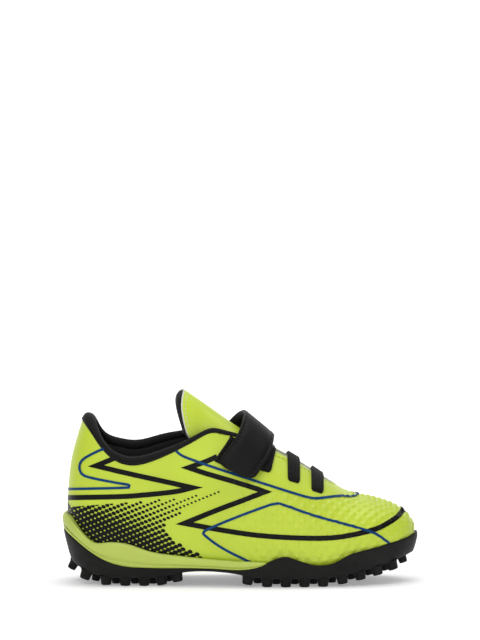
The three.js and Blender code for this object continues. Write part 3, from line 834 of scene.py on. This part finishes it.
def make_collar_tape():
    """Tape folded over the collar's edge; each section point is (share across, rise)."""
    edge, across, up = collar_frame()
    low = 1 - 0.3 * smooth(edge[:, :1], 52, 76)
    section = [(-0.05, -1.3), (-0.085, -0.7), (-0.09, 0.3), (-0.06, 1.4), (0.0, 2.4), (0.1, 3.2), (0.25, 3.8),
               (0.42, 4.05), (0.6, 4.0), (0.77, 3.6), (0.9, 2.9), (0.99, 1.9), (1.03, 0.8), (1.02, -0.4),
               (0.97, -1.0), (0.8, -1.0), (0.4, 0.3), (0.05, 0.1)]
    points, faces = trim(edge, across, up * low, section)
    tape = mesh_object("collar_tape", points, faces, M["binding"])
    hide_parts("collar_binding")
    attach(tape, "shoe")


def make_lining():
    """Padded textile round the ankle, with a seam below its fullest part."""
    c = FINE_UPPER
    pick = quarter_pick(COLLAR_END_X)
    heights = np.concatenate([np.linspace(0.17, 0.45, 12), np.linspace(0.47, 0.995, 40)])

    def face(x, h):
        seam = 0.5 * np.exp(-((h - 0.62) / 0.02) ** 2)
        return padded_depth(x, h) + 0.95 + seam + 0.5 * smooth(h, 0.7, 0.85) * (1 - smooth(h, 0.9, 1.0))
    front = c.grid(heights, face, pick)
    back = c.grid(heights, lambda x, h: padded_depth(x, h) + 0.05, pick)
    points, faces = slab(front, back)
    lining = mesh_object("quarter_lining_knit", points, faces, M["lining"])
    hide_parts("quarter_lining")
    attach(lining, "shoe")


# ---- tongue -----------------------------------------------------------------------------------
TONGUE_BASE_END_X = 158.0
TONGUE_SPREAD = 1.45
PAD_START = 0.6                # how far the padding reaches past the tongue's tip
tongue_top = curve((66, 118.5), (71.5, 114.7), (83, 106.8), (94, 99), (105, 91.3), (127, 76.8), (142, 66.8),
                   (152, 60.5), (160, 54.5))
tongue_half = curve((66, 14.6), (75, 14.2), (83, 13.2), (94, 15.2), (105, 16.4), (127, 14.2), (152, 11),
                    (160, 9.5))
tongue_drop = curve((66, 31), (75, 29), (94, 19.5), (105, 13.5), (127, 8), (152, 5), (160, 4.5))


def tongue_point(x, angle, depth):
    """A spot on the tongue: angle 0 is its crest, and depth is below its face."""
    half = tongue_half(x) - depth
    drop = tongue_drop(x) - depth * 0.4
    return np.stack([x + 0 * angle, centre_y(x) + half * np.sin(angle),
                     tongue_top(x) - depth - drop * (1 - np.cos(angle))], axis=-1)


# Where the tongue ends, against the angle round it: scooped on the lateral side, long on the medial.
flap_end = curve((-1.5, 75.4), (-1.34, 72.9), (-1.1, 71.0), (-0.87, 70.1), (-0.65, 70.3), (0, 71.5),
                 (0.35, 69.6), (0.65, 67.5), (0.87, 67.0), (1.1, 68.4), (1.3, 70.2), (1.5, 71.6))


def tongue_grid(depth, spread=TONGUE_SPREAD, back=0.0, rows=51, count=80):
    angle = np.linspace(-spread, spread, rows)[:, None]
    t = np.linspace(0, 1, count)[None, :] ** 1.25
    x = mix(flap_end(angle) + back, TONGUE_BASE_END_X, t)
    angle = angle + 0 * t
    level = depth(x, angle / TONGUE_SPREAD) if callable(depth) else depth
    return tongue_point(x, angle, level)


def make_tongue_sheet():
    """The tongue's lime face, with pale cut edges."""
    outer = tongue_grid(0.0)
    points, faces = slab(outer, tongue_grid(1.25))
    face = mesh_object("tongue_sheet", points, faces, M["lime"])
    face.data.materials.append(M["edge"])
    levels = outer.shape[1] - 1
    sheets = (outer.shape[0] - 1) * levels
    for polygon in face.data.polygons:
        index = polygon.index
        if index >= 2 * sheets or index % levels < 2:
            polygon.material_index = 1
    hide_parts("tongue_face", "tongue_base")
    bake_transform(face)


def make_tongue_padding():
    """The tongue's padded back, fullest in the middle, with a seam near its end."""
    def puff(x, s):
        rim = np.clip((x - flap_end(s * TONGUE_SPREAD) + PAD_START) / 5, 0, 1)
        side = np.clip((1 - np.abs(s)) / 0.22, 0, 1)
        swell = np.sqrt(1 - (1 - rim) ** 2) * np.sqrt(1 - (1 - side) ** 2)
        fade = 1 - 0.6 * smooth(x, 86, 112)
        seam = 0.7 * np.exp(-((x - flap_end(s * TONGUE_SPREAD) - 1.6) / 0.5) ** 2)
        return 1.5 + 6.2 * swell * fade - seam * swell
    pad_front = tongue_grid(1.3, 1.47, -PAD_START, 61, 90)
    pad_back = tongue_grid(puff, 1.47, -PAD_START, 61, 90)
    points, faces = slab(pad_front, pad_back)
    pad = mesh_object("tongue_padding", points, faces, M["lining"])
    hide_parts("tongue_foam", "tongue_lining")
    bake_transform(pad)


# ---- stitches ---------------------------------------------------------------------------------
def resample(path, step):
    """Evenly spaced marks along a path, two for each step."""
    lengths = np.concatenate([[0], np.cumsum(np.linalg.norm(np.diff(path, axis=0), axis=1))])
    count = max(2, int(round(lengths[-1] / step)))
    marks = np.linspace(0, lengths[-1], count * 2 + 1)
    return np.stack([np.interp(marks, lengths, path[:, k]) for k in range(3)], axis=1)


def stitch_mesh(paths, length, gap, radius):
    """Short rounded threads along paths of (points, normals): each dips in at both ends."""
    points, faces = [], []
    profile = [(0.0, 0.35, -0.4), (0.12, 0.9, 0.35), (0.5, 1.0, 0.75), (0.88, 0.9, 0.35), (1.0, 0.35, -0.4)]
    for path, normals in paths:
        marks = resample(path, length + gap)
        normal_marks = nearest_normals(path, normals, marks)
        share = length / (length + gap) / 2
        for i in range(1, len(marks) - 1, 2):
            ahead = marks[i + 1] - marks[i - 1]
            axis = ahead / max(1e-9, np.linalg.norm(ahead))
            normal = normal_marks[i]
            side = np.cross(axis, normal)
            side /= max(1e-9, np.linalg.norm(side))
            begin = marks[i] - ahead * share
            faces += tube_faces(6, len(profile), start=len(points))
            for t, size, lift in profile:
                centre = begin + ahead * 2 * share * t + normal * lift * radius
                for a in np.arange(6) / 6 * 2 * math.pi:
                    points.append(centre + (side * math.cos(a) + normal * math.sin(a)) * radius * size)
    return points, faces


def nearest_normals(path, normals, marks):
    distance = np.linalg.norm(marks[:, None] - path[None], axis=2)
    return normals[np.argmin(distance, axis=1)]


def make_stitches(name, paths, material, body, slot, **sizes):
    points, faces = stitch_mesh(paths, **sizes)
    row = mesh_object(name, points, faces, M[material])
    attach(row, body)


def tongue_stitches():
    angle = np.linspace(-1.25, 1.25, 60)
    x = flap_end(angle) + 2.6
    path = tongue_point(x, angle, 0 * angle)
    ahead = tongue_point(x + 1, angle, 0 * angle) - path
    turn = tongue_point(x, angle + 0.02, 0 * angle) - path
    normal = unit(np.cross(turn, ahead))
    normal *= np.sign(normal[:, 2:3] + 1e-9)
    make_stitches("tongue_edge_stitches", [(path, normal)], "stitch_pale", "tongue_flap", "upper_synthetic",
                  length=1.7, gap=0.9, radius=0.25)


def collar_stitches():
    edge, across, up = collar_frame()
    path = (edge - up * 0.45 - across * 0.1)[3:-3]
    make_stitches("collar_stitches", [(path, normals_at(path))], "stitch_black", "shoe", "black_textile",
                  length=1.5, gap=0.8, radius=0.2)


# ---- straps, patches and laces ------------------------------------------------------------------
STRAP_ROOT = math.radians(66)
STRAP_END = math.radians(-71.5)
STRAP_TIP = math.radians(12)   # how far the rounded corners of its end reach up
STRAP_SEAM = 0.82              # where its stitch lines run, as a share of half its width
STRAP_FAN = {"origin": (101, 1, 57.5), "up": (0.36, 0, 0.933), "along": (0.84, 0, -0.54)}
LACE_ALONG = (0.98, 0, -0.2)
LACE_REACH = 38.0              # rough distance from a lace's axis to the throat's edge
LACES = (
    {"origin": (114.5, 1.5, 45), "up": (0.22, 0, 0.975), "along": LACE_ALONG, "reach": 47},
    {"origin": (137, 2, 42), "up": (-0.02, 0, 1), "along": LACE_ALONG, "reach": 52},
    {"origin": (150.5, 2.5, 38), "up": (0, 0, 1), "along": LACE_ALONG, "reach": 54},
)


def band_point(fan, angle, across, depth):
    """Point over the body on a fan of rays: angle 0 is the top, negative the lateral side."""
    angle, across, depth = np.broadcast_arrays(np.asarray(angle, float), across, depth)
    origin = np.array(fan["origin"]) + np.array(fan["along"]) * across[..., None]
    direction = (np.array(fan["up"]) * np.cos(angle)[..., None]
                 + np.array([0, 1.0, 0]) * np.sin(angle)[..., None])
    p = ray_hit(origin, direction)
    return p + normals_at(p) * depth[..., None]


strap_skew = curve((-1.27, -2.2), (-1.05, -1.2), (-0.66, 1.6), (-0.26, 0.6), (0, 0), (0.35, -3.5),
                   (0.7, -6.5), (1.15, -7.5), (1.75, -7.5))


def strap_lift(angle, across=0.0):
    """The strap stands clear of the upper, and its rear edge stands highest over the instep."""
    return 3.2 + (0.85 - 2.5 * across / STRAP_WIDTH) * np.clip(np.cos(angle * 1.25), 0, 1) ** 2


def strap_point(angle, across, depth):
    """The strap runs a little askew: its root and its end sit further back than the middle."""
    angle, across, depth = np.broadcast_arrays(np.asarray(angle, float), across, depth)
    turn = math.radians(0.2) * (across - 11) * smooth(-angle, math.radians(30), math.radians(70))
    return band_point(STRAP_FAN, angle + turn, across + strap_skew(angle), depth)


def band_sweep(place_point, angles, half_width, low, high, profile):
    """A band of one section, given by profile as (share across, share of thickness)."""
    rings = []
    share = np.array([point[0] for point in profile])
    rise = np.array([point[1] for point in profile])
    for angle in angles:
        across = share * half_width(angle)
        bottom, top = low(angle, across), high(angle, across)
        rings.append(place_point(angle, across, bottom + rise * (top - bottom)))
    return sweep(rings)


def strap_profile():
    """The strap's section: rounded edges, a slightly full face, and a groove under each stitch line."""
    half = [(0.2, 1.1), (0.5, 1.08), (STRAP_SEAM - 0.035, 1.02), (STRAP_SEAM, 0.87),
            (STRAP_SEAM + 0.035, 1.0), (0.92, 1.0), (0.965, 0.93), (0.992, 0.7), (1, 0.35)]
    face = [(-share, rise) for share, rise in half[::-1]] + half
    return face + [(share, 0.0) for share in (0.97, 0.6, 0.2, -0.2, -0.6, -0.97)]




def strap_half(angle):
    """Half the strap's width: it flares a little towards its end, whose corners are round."""
    tip = float(np.clip((STRAP_END + STRAP_TIP - angle) / STRAP_TIP, 0, 1))
    flare_out = 1 + 0.08 * float(smooth(-angle, math.radians(25), math.radians(65)))
    return STRAP_WIDTH / 2 * flare_out * max(0.45, (1 - tip ** 3.4) ** (1 / 3.4))


def strap_angles():
    """Where the strap's sections stand: evenly along it, and closer at its rounded end."""
    tip = STRAP_END + STRAP_TIP * (1 - np.sin(np.linspace(0, 1, 16) * math.pi / 2))
    return np.concatenate([np.linspace(STRAP_ROOT, STRAP_END + STRAP_TIP, 76)[:-1], tip])


def make_strap():
    """The strap, swept as one band over the instep from its root to its rounded end."""
    points, faces = band_sweep(strap_point, strap_angles(), strap_half, strap_lift,
                               lambda a, across: strap_lift(a, across) + STRAP_THICK, strap_profile())
    strap = mesh_object("strap_synthetic", points, faces, M["strap"])
    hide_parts("strap_band")
    start = strap_point(math.radians(64), 0.0, 4.0)
    end = strap_point(math.radians(55), 0.0, 4.5)
    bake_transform(strap)


def strap_stitches():
    """One line of stitches along each edge, and one across the end."""
    angles = strap_angles()[10:-4]
    level = STRAP_THICK * 0.93
    paths = []
    for side in (-1, 1):
        across = np.array([strap_half(a) for a in angles]) * STRAP_SEAM * side
        p = strap_point(angles, across, strap_lift(angles, across) + level)
        paths.append((p, normals_at(strap_point(angles, across, 0.0))))
    across = np.linspace(-STRAP_SEAM, STRAP_SEAM, 12) * strap_half(angles[-1])
    p = strap_point(angles[-1], across, strap_lift(angles[-1]) + level)
    paths.append((p, normals_at(p)))
    make_stitches("strap_stitches", paths, "stitch_black", "strap", "strap_synthetic",
                  length=1.7, gap=0.8, radius=0.24)


def fuzzy_height(a, b, size):
    """The uneven pile of hook-and-loop tape."""
    return size * (np.sin(a * 7.1 + b * 3.3) * np.sin(b * 8.7 - a * 2.9) + 0.6 * np.sin(a * 13.7 + 1.3)
                   * np.sin(b * 12.1 + a * 4.7))


def make_patch(name, node, first, last, lanes, low, high, material, rough_up, body):
    """A sewn patch with soft edges; rough_up is the height of its pile."""
    angles = np.radians(np.linspace(first, last, 70))[:, None]
    across = np.linspace(*lanes, 56)[None, :]
    u = np.linspace(-1, 1, 70)[:, None]
    v = np.linspace(-1, 1, 56)[None, :]
    edge = np.clip(np.minimum(1 - np.abs(u), (1 - np.abs(v))) * 14, 0, 1)
    dome = np.sqrt(np.clip(1 - (1 - edge) ** 2, 0, 1))
    thick = high(angles) - low(angles)
    top = low(angles) + 0.25 + (thick - 0.25) * dome + fuzzy_height(angles * 35, across, rough_up) * edge
    points, faces = slab(strap_point(angles, across, top), strap_point(angles, across, low(angles)))
    patch = mesh_object(name, points, faces, M[material])
    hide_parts(node)
    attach(patch, body)
    return patch


def make_patches():
    """Loop tape on the quarter, hook tape under the strap's end, and the tab that holds its root."""
    loop = make_patch("loop_tape", "loop_patch", -36, -68, (-14.8, 9.5),
                      lambda a: 0.3 + 0 * a, lambda a: 1.45 + 0 * a, "fuzz", 0.1, "shoe")
    hook = make_patch("hook_tape", "hook_patch", -40, -66, (-9, 9),
                      lambda a: strap_lift(a) + 0.1, lambda a: 1.8 + 0 * a, "fuzz", 0.06, "strap")
    anchor = make_patch("strap_anchor_tab", "strap_anchor", 61, 99, (-11, 11),
                        lambda a: 0.3 + 0 * a, lambda a: 3.6 - 2.2 * smooth(a, 1.2, 1.68),
                        "strap", 0.0, "shoe")


def patch_stitches():
    """A frame of stitches on the loop tape and on the anchor tab."""
    frames = []
    for first, last, lanes, depth in ((-38, -66, (-13.7, 8.3), 1.4), (84, 96, (-9.2, 9.2), 1.95)):
        turn = np.radians(np.linspace(first, last, 24))
        sweep_across = np.linspace(*lanes, 16)
        for a, b in ((turn, lanes[0] + 0 * turn), (turn, lanes[1] + 0 * turn),
                     (turn[0] + 0 * sweep_across, sweep_across), (turn[-1] + 0 * sweep_across, sweep_across)):
            frames.append((strap_point(a, b, depth), normals_at(strap_point(a, b, 0.0))))
    make_stitches("patch_stitches", frames, "stitch_black", "shoe", "black_textile",
                  length=1.6, gap=0.8, radius=0.22)


def lace_profile(ribs=6, steps=6):
    """A lace's section: rounded edges and shallow lengthwise ribs."""
    profile = []
    for i in range(ribs * steps + 1):
        share = -1 + 2 * i / (ribs * steps)
        edge = min(1, (1 - abs(share)) / 0.08)
        dip = 0.5 - 0.5 * math.cos(2 * math.pi * i / steps)
        profile.append((share, 0.55 + 0.45 * math.sqrt(max(0, 1 - (1 - edge) ** 2)) - 0.13 * dip * edge))
    return profile + [(0.98, 0.0), (0.3, 0.0), (-0.3, 0.0), (-0.98, 0.0)]


def make_laces():
    """Flat elastic bands: each sags a little over the throat, and its narrowed ends go in at the sides."""
    for i, fan in enumerate(LACES):
        reach = math.radians(fan["reach"] + 3)
        angles = np.linspace(-reach, reach, 61)
        dip = math.radians(5)
        throat = math.asin(float(throat_half(fan["origin"][0] + 7)) / LACE_REACH)

        def sink(angle):
            sag = 1.3 * LACE_REACH * (1 - math.cos(throat)) * max(0, 1 - (angle / throat) ** 2)
            return 2.2 * float(smooth(abs(angle), reach - dip, reach)) + sag

        def half(angle):
            close = float(np.clip((abs(angle) - reach + dip) / dip, 0, 1))
            return LACE_WIDTH / 2 * (1 - 0.45 * close ** 2)
        points, faces = band_sweep(functools.partial(band_point, fan), angles, half,
                                   lambda a, across: 0.1 - sink(a),
                                   lambda a, across: 0.6 + LACE_THICK - sink(a), lace_profile())
        lace = mesh_object(f"elastic_band_{i + 1}", points, faces, M["elastic"])
        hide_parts(f"elastic_lace_{i + 1}")
        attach(lace, "shoe")


def throat_pick():
    """The columns round the throat, from one side of the collar to the other."""
    last = quarter_last(TAPE_END_X - 4)
    return np.arange(last, FINE_UPPER.count - last + 1)


def make_throat_edge():
    """The cut edge of the synthetic round the throat, paler than its face."""
    pick = throat_pick()
    edge = edge_line(1.0, pick)
    section = [(-0.12, -0.5), (-0.1, 0.1), (0.25, 0.45), (1.1, 0.5), (1.45, 0.25), (1.5, -0.4), (0.7, -0.5)]
    points, faces = trim(edge, -normals_at(edge), unit(edge - edge_line(0.97, pick)), section)
    rim = mesh_object("throat_cut_edge", points, faces, M["edge"])
    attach(rim, "shoe")


def throat_stitches():
    """Thread in the upper's own colour, a little behind the throat's edge."""
    seam = edge_line(0.955, throat_pick()[6:-6])
    normals = normals_at(seam)
    make_stitches("throat_stitches", [(seam + normals * 0.05, normals)], "lime_thread", "shoe",
                  "upper_synthetic", length=1.6, gap=0.9, radius=0.2)


# ---- printed lines and dots ---------------------------------------------------------------------
# Side prints are laid out on the side view as (x, height) and pressed on to the curved upper. Those over the
# toe and before the throat are laid out from above, and those on the back of the heel from behind.
SIGHT = math.radians(VIEW_ELEVATION)
EYE_Y = -28.0                  # here a height on the side view is about the height above the ground
FAR_SIDE = 75                  # beyond the shoe's widest, where the prints start from
ON_SURFACE = 0.02              # how near zero the field is on the body
DOT_LIFT = 0.1                 # how far the prints stand off the upper
BLACK_LIFT = 0.2
BLUE_LIFT = 0.28
BLACK_LINE = 3.0               # widths of the printed lines
BLUE_LINE = 1.5
HEEL_PRINT = 12.6              # half width of the prints' stretch across the back of the heel


def height_at(y, level):
    """Height above the ground of a spot that the side view shows at a level."""
    return (level - (y - EYE_Y) * math.sin(SIGHT)) / math.cos(SIGHT)


def press_on_side(flat, side, lift):
    """Side view points to the upper's finished surface, and which of them lie on it."""
    x, level = flat[:, 0], flat[:, 1]

    def seen(reach):
        y = reach - FAR_SIDE
        return field(np.stack([x, y, height_at(y, level)], axis=-1)) > 0

    def seen_from_medial(reach):
        return field(np.stack([x, FAR_SIDE - reach, z], axis=-1)) > 0
    y = bisect(seen, 0, 80, len(x)) - FAR_SIDE
    z = height_at(y, level)
    if side > 0:
        y = FAR_SIDE - bisect(seen_from_medial, 0, 80, len(x))
    p = np.stack([x, y, z], axis=-1)
    return upper_surface(p) + normals_at(p) * lift, np.abs(field(p)) < ON_SURFACE


def press_on_back(flat, side, lift):
    """Points (y, side view height) to the back of the heel, which is smooth."""
    y, level = flat[:, 0], flat[:, 1]
    z = height_at(-np.abs(y), level)
    x = bisect(lambda reach: field(np.stack([reach - 10, y, z], axis=-1)) > 0, 0, 40, len(y)) - 10
    p = np.stack([x, y, z], axis=-1)
    return p + normals_at(p) * lift, np.abs(field(p)) < ON_SURFACE


def press_on_top(flat, side, lift):
    """Points (x, y) seen from above to the finished upper."""
    x, y = flat[:, 0], flat[:, 1]
    z = 90 - bisect(lambda fall: field(np.stack([x, y, 90 - fall], axis=-1)) > 0, 0, 70, len(x))
    p = np.stack([x, y, z], axis=-1)
    return upper_surface(p) + normals_at(p) * lift, np.abs(field(p)) < ON_SURFACE


def rounded(points, density=6):
    """A smooth open path through points, Catmull-Rom."""
    p = np.array(points, float)
    p = np.concatenate([2 * p[:1] - p[1:2], p, 2 * p[-1:] - p[-2:-1]])
    path = []
    for i in range(1, len(p) - 2):
        for t in np.arange(density) / density:
            path.append(0.5 * (2 * p[i] + (p[i + 1] - p[i - 1]) * t
                               + (2 * p[i - 1] - 5 * p[i] + 4 * p[i + 1] - p[i + 2]) * t ** 2
                               + (3 * p[i] - p[i - 1] - 3 * p[i + 1] + p[i + 2]) * t ** 3))
    path.append(p[-2])
    return np.array(path)


def clipped(outline, corner, normal):
    """The part of an outline on the side of a line that the normal points to."""
    kept = []
    for i in range(len(outline)):
        a, b = outline[i], outline[(i + 1) % len(outline)]
        da, db = np.dot(a - corner, normal), np.dot(b - corner, normal)
        if da >= 0:
            kept.append(a)
        if (da >= 0) != (db >= 0):
            kept.append(a + (b - a) * da / (da - db))
    return np.array(kept)


def stroke(runs, width, tip=3.4):
    """Outlines of a line of one width: smooth runs that meet in sharp mitred corners."""
    paths = [rounded(run) for run in runs]
    ways = [(unit(path[1] - path[0]), unit(path[-1] - path[-2])) for path in paths]
    outlines = []
    for k, path in enumerate(paths):
        first, last = ways[k]
        if k > 0:
            path = np.concatenate([[path[0] - first * width * tip], path])
        if k < len(paths) - 1:
            path = np.concatenate([path, [path[-1] + last * width * tip]])
        along = unit(np.gradient(path, axis=0))
        left = np.stack([-along[:, 1], along[:, 0]], axis=1) * width / 2
        outline = np.concatenate([path + left, (path - left)[::-1]])
        if k > 0:
            outline = clipped(outline, paths[k][0], unit(ways[k - 1][1] + first))
        if k < len(paths) - 1:
            outline = clipped(outline, paths[k][-1], -unit(last + ways[k + 1][0]))
        outlines.append(outline)
    return outlines


def inside(outline, points):
    """Which points lie inside a closed outline."""
    x, y = points[:, 0], points[:, 1]
    odd = np.zeros(len(points), bool)
    for (ax, ay), (bx, by) in zip(outline, np.roll(outline, -1, axis=0)):
        if ay == by:
            continue
        crosses = (ay > y) != (by > y)
        odd ^= crosses & (x < (bx - ax) * (y - ay) / (by - ay) + ax)
    return odd


def fill(outline, spacing):
    """Triangles that fill an outline, small enough to follow a curved surface."""
    rim = []
    for a, b in zip(outline, np.roll(outline, -1, axis=0)):
        count = max(1, int(np.linalg.norm(b - a) / spacing))
        rim += [a + (b - a) * i / count for i in range(count)]
    rim = np.array(rim)
    lo, hi = rim.min(axis=0), rim.max(axis=0)
    xs, ys = np.meshgrid(np.arange(lo[0], hi[0], spacing), np.arange(lo[1], hi[1], spacing))
    xs[1::2] += spacing / 2
    dots = np.stack([xs.ravel(), ys.ravel()], axis=1)
    dots = dots[inside(outline, dots)]
    if len(dots):
        far = np.array([np.min(np.sum((rim - dot) ** 2, axis=1)) for dot in dots])
        dots = dots[far > (0.4 * spacing) ** 2]
    points = np.concatenate([rim, dots])
    result = delaunay_2d_cdt([Vector(point) for point in points], [], [list(range(len(rim)))], 1, 1e-6)
    return np.array([tuple(point) for point in result[0]]), [tuple(face) for face in result[2]]


def refine(flat, triangles, press, longest=1.5, rounds=4):
    """Split the triangles that the curved surface stretches, so that the film follows its bumps."""
    work = bmesh.new()
    corners = [work.verts.new((x, level, 0)) for x, level in flat]
    for face in triangles:
        work.faces.new([corners[i] for i in face])
    for _ in range(rounds):
        work.verts.index_update()
        p, good = press(np.array([vertex.co[:2] for vertex in work.verts]))
        long = [edge for edge in work.edges
                if good[edge.verts[0].index] and good[edge.verts[1].index]
                and np.linalg.norm(p[edge.verts[0].index] - p[edge.verts[1].index]) > longest]
        if not long:
            break
        bmesh.ops.subdivide_edges(work, edges=long, cuts=1)
        bmesh.ops.triangulate(work, faces=work.faces[:])
    work.verts.index_update()
    flat = np.array([vertex.co[:2] for vertex in work.verts])
    triangles = [[vertex.index for vertex in face.verts] for face in work.faces]
    work.free()
    return flat, triangles


def print_film(name, outlines, material, press, side, lift, spacing=1.1, fine=False):
    """A thin film over the upper; the faces that would miss the upper are left out."""
    points, faces = [], []
    for outline in outlines:
        flat, triangles = fill(outline, spacing)
        if fine:
            flat, triangles = refine(flat, triangles, lambda spots: press(spots, side, lift))
        p, good = press(flat, side, lift)
        outward = normals_at(p)
        start = len(points)
        points += list(p)
        for face in triangles:
            if all(good[i] for i in face):
                loop = [p[i] for i in face]
                turn = np.cross(loop[1] - loop[0], loop[2] - loop[0])
                flip = np.dot(turn, outward[face[0]]) < 0
                faces.append([start + i for i in (face[::-1] if flip else face)])
    used = sorted({corner for face in faces for corner in face})
    number = {old: new for new, old in enumerate(used)}
    points = [points[old] for old in used]
    faces = [[number[corner] for corner in face] for face in faces]
    film = mesh_object(name, points, faces, M[material], fix_normals=False)
    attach(film, "shoe")


def back_x(level):
    """Where the side prints meet the ones on the back of the heel."""
    return float(heel_back(level)) + 1.4


# Each line is a tuple of smooth runs, which meet in sharp corners.
REAR_ZIGZAG = (
    ((33.5, 76.6), (20, 71.1)),
    ((20, 71.1), (34.9, 67.5), (49.2, 64.3), (63.4, 61.2), (76.8, 58.2)),
    ((76.8, 58.2), (67, 55.9), (48.6, 53.9), (33.7, 52.9), (back_x(50), 52.3)),
)
FRONT_ZIGZAG = (
    ((91.5, 76.6), (84.8, 73.6), (74.6, 70.0)),
    ((74.6, 70.0), (84.8, 66.6), (99.1, 62.4), (113.3, 58), (119.8, 55.7)),
    ((119.8, 55.7), (106.2, 50.5), (92, 45.2), (72.2, 37.2)),
    ((72.2, 37.2), (92, 33.6), (113.3, 30.4), (134.7, 28.8), (156, 28.5), (170.4, 30.2), (184.6, 33.6),
     (193, 37.6), (198.9, 41.6), (202.6, 45.8)),
)
BLUE_TOP = (((66.4, 80.6), (70.6, 77.2), (77.7, 74.3), (92, 69.3), (116.9, 61.2), (138.3, 54.4), (146, 52.3),
             (151, 51.9), (160, 52.9), (166.5, 53.4)),)
BLUE_HEEL = (((24.6, 81.2), (17.5, 78.0), (11.6, 74.2), (10.2, 69.6), (12.6, 65.6), (20, 63.4), (33.1, 60.9),
              (39.0, 59.9), (39.3, 58.7), (36, 58.1), (back_x(55), 57.4)),)
BLUE_LOW = (((113.4, 13.5), (103, 18.2), (93, 23.6), (84.6, 29.8), (83.6, 31.8), (86, 33.6), (95.5, 37.8),
             (109.8, 43.4), (121, 47.4), (125.6, 48.6), (130, 48.2), (149, 41.6), (170.4, 35.7), (182, 32.2),
             (188.2, 29.0), (196, 23)),)
# Seen from above, x and y: the blue line round the throat's front, and the black line over the toe.
BLUE_FRONT = (((166, -14), (170, -10.4), (173.5, -5), (175.3, 3.7), (173.5, 12.6), (170, 17.8), (166, 21)),)
BLACK_FRONT = (((201.2, -2.5), (202, 1), (202.2, 4.7), (202, 8.4), (201.2, 12)),)
DOT_START = np.array([3.0, 47.6])
DOT_STEP = np.array([2.257, 0.92])       # from a dot to the next in its row
DOT_ROW = np.array([1.9, -2.376])        # from a row to the one below
DOT_TOP = 48.9                           # the field's upper edge at the heel
DOT_FIELD = ((0, DOT_TOP + 1), (27.8, DOT_TOP + 0.6), (49.3, 50.2), (66.2, 51.7), (80.6, 54.2), (95, 56),
             (90.2, 52.9), (77.1, 47), (62.3, 39.3), (61.3, 33), (64, 28.9), (69.4, 25.3), (75.3, 21.4),
             (86, 16.2), (60, 15), (0, 15))


def dot_outlines(across_heel=False):
    """Rounded lozenges on a slanting lattice, running together low down and small at the upper front."""
    outlines = []
    turn = np.arange(14) / 14 * 2 * math.pi
    lobe = np.stack([np.sign(f(turn)) * np.abs(f(turn)) ** 0.9 for f in (np.cos, np.sin)], axis=1)
    for i in range(-40, 60):
        for j in range(-30, 30):
            centre = DOT_START + i * DOT_STEP + j * DOT_ROW
            if not inside(np.array(DOT_FIELD), centre[None])[0]:
                continue
            x = abs(centre[0] - 12) if across_heel else centre[0]
            small = np.clip((x - 25) / 45 * 0.55 + (centre[1] - 36) / 14 * 0.45, 0, 1)
            long = mix(1.14, 0.52, small)
            wide = mix(1.08 - 0.12 * smooth(x, 35, 75), 0.44, small)
            size = lobe[:, :1] * DOT_STEP / 2 * long + lobe[:, 1:] * DOT_ROW / 2 * wide
            if across_heel:
                centre = centre - np.array([HEEL_PRINT, 0])
                if abs(centre[0]) < HEEL_PRINT and centre[1] > 39.5:
                    outlines.append(centre + size)
            elif centre[0] > back_x(45) - 1.5 and centre[1] > midsole_top(centre[0]) - 2:
                dot = centre + size
                if centre[0] < 40:
                    dot = clipped(dot, np.array([30, DOT_TOP]), np.array([0.08, -1.0]))
                outlines.append(dot)
    return [outline for outline in outlines if len(outline) > 2]


def level_band(level, width):
    """A straight line across the back of the heel."""
    half = width / 2
    reach = HEEL_PRINT + 1
    low, high = level - half, level + half
    return np.array([(-reach, low), (reach, low), (reach, high), (-reach, high)])


def make_prints():
    """Dots under black lines under blue ones, each a little higher than the last."""
    for side, word in ((-1, "lateral"), (1, "medial")):
        print_film(f"dots_{word}", dot_outlines(), "ink_black", press_on_side, side, DOT_LIFT, 1.2)
        black = stroke(REAR_ZIGZAG, BLACK_LINE) + stroke(FRONT_ZIGZAG, BLACK_LINE)
        print_film(f"black_lines_{word}", black, "ink_black", press_on_side, side, BLACK_LIFT, 0.8, True)
        blue = [outline for run in (BLUE_TOP, BLUE_HEEL, BLUE_LOW) for outline in stroke(run, BLUE_LINE)]
        print_film(f"blue_lines_{word}", blue, "ink_blue", press_on_side, side, BLUE_LIFT, 0.7, True)
    toe_line = stroke(BLACK_FRONT, BLACK_LINE * 0.8)
    print_film("black_line_toe", toe_line, "ink_black", press_on_top, 0, 0.42, 0.7, True)
    throat_line = stroke(BLUE_FRONT, BLUE_LINE)
    print_film("blue_line_front", throat_line, "ink_blue", press_on_top, 0, 0.45, 0.7, True)
    print_film("dots_heel", dot_outlines(True), "ink_black", press_on_back, 0, DOT_LIFT, 1.2)
    print_film("black_line_heel", [level_band(52.3, BLACK_LINE)], "ink_black", press_on_back, 0, 0.15)
    print_film("blue_line_heel", [level_band(57.4, BLUE_LINE)], "ink_blue", press_on_back, 0, 0.2)


INNER_PIECES = {
    "board": ("insole_board", "heel_counter", "toe_puff", "eyestay_lateral", "eyestay_medial"),
    "foam": ("collar_foam",),
    "lining": ("sockliner", "vamp_lining"),
}


def dress_inner_pieces():
    """The CAD's own inner pieces keep their meshes and take these materials."""
    for material_name, node_names in INNER_PIECES.items():
        for node_name in node_names:
            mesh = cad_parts[node_name].data
            mesh.materials.clear()
            mesh.materials.append(M[material_name])


make_camera()
make_studio()
make_outsole()
make_studs()
make_midsole()
make_upper()
make_collar_tape()
make_lining()
make_tongue_sheet()
make_tongue_padding()
tongue_stitches()
collar_stitches()
make_strap()
strap_stitches()
make_patches()
patch_stitches()
make_laces()
make_throat_edge()
throat_stitches()
make_prints()
dress_inner_pieces()
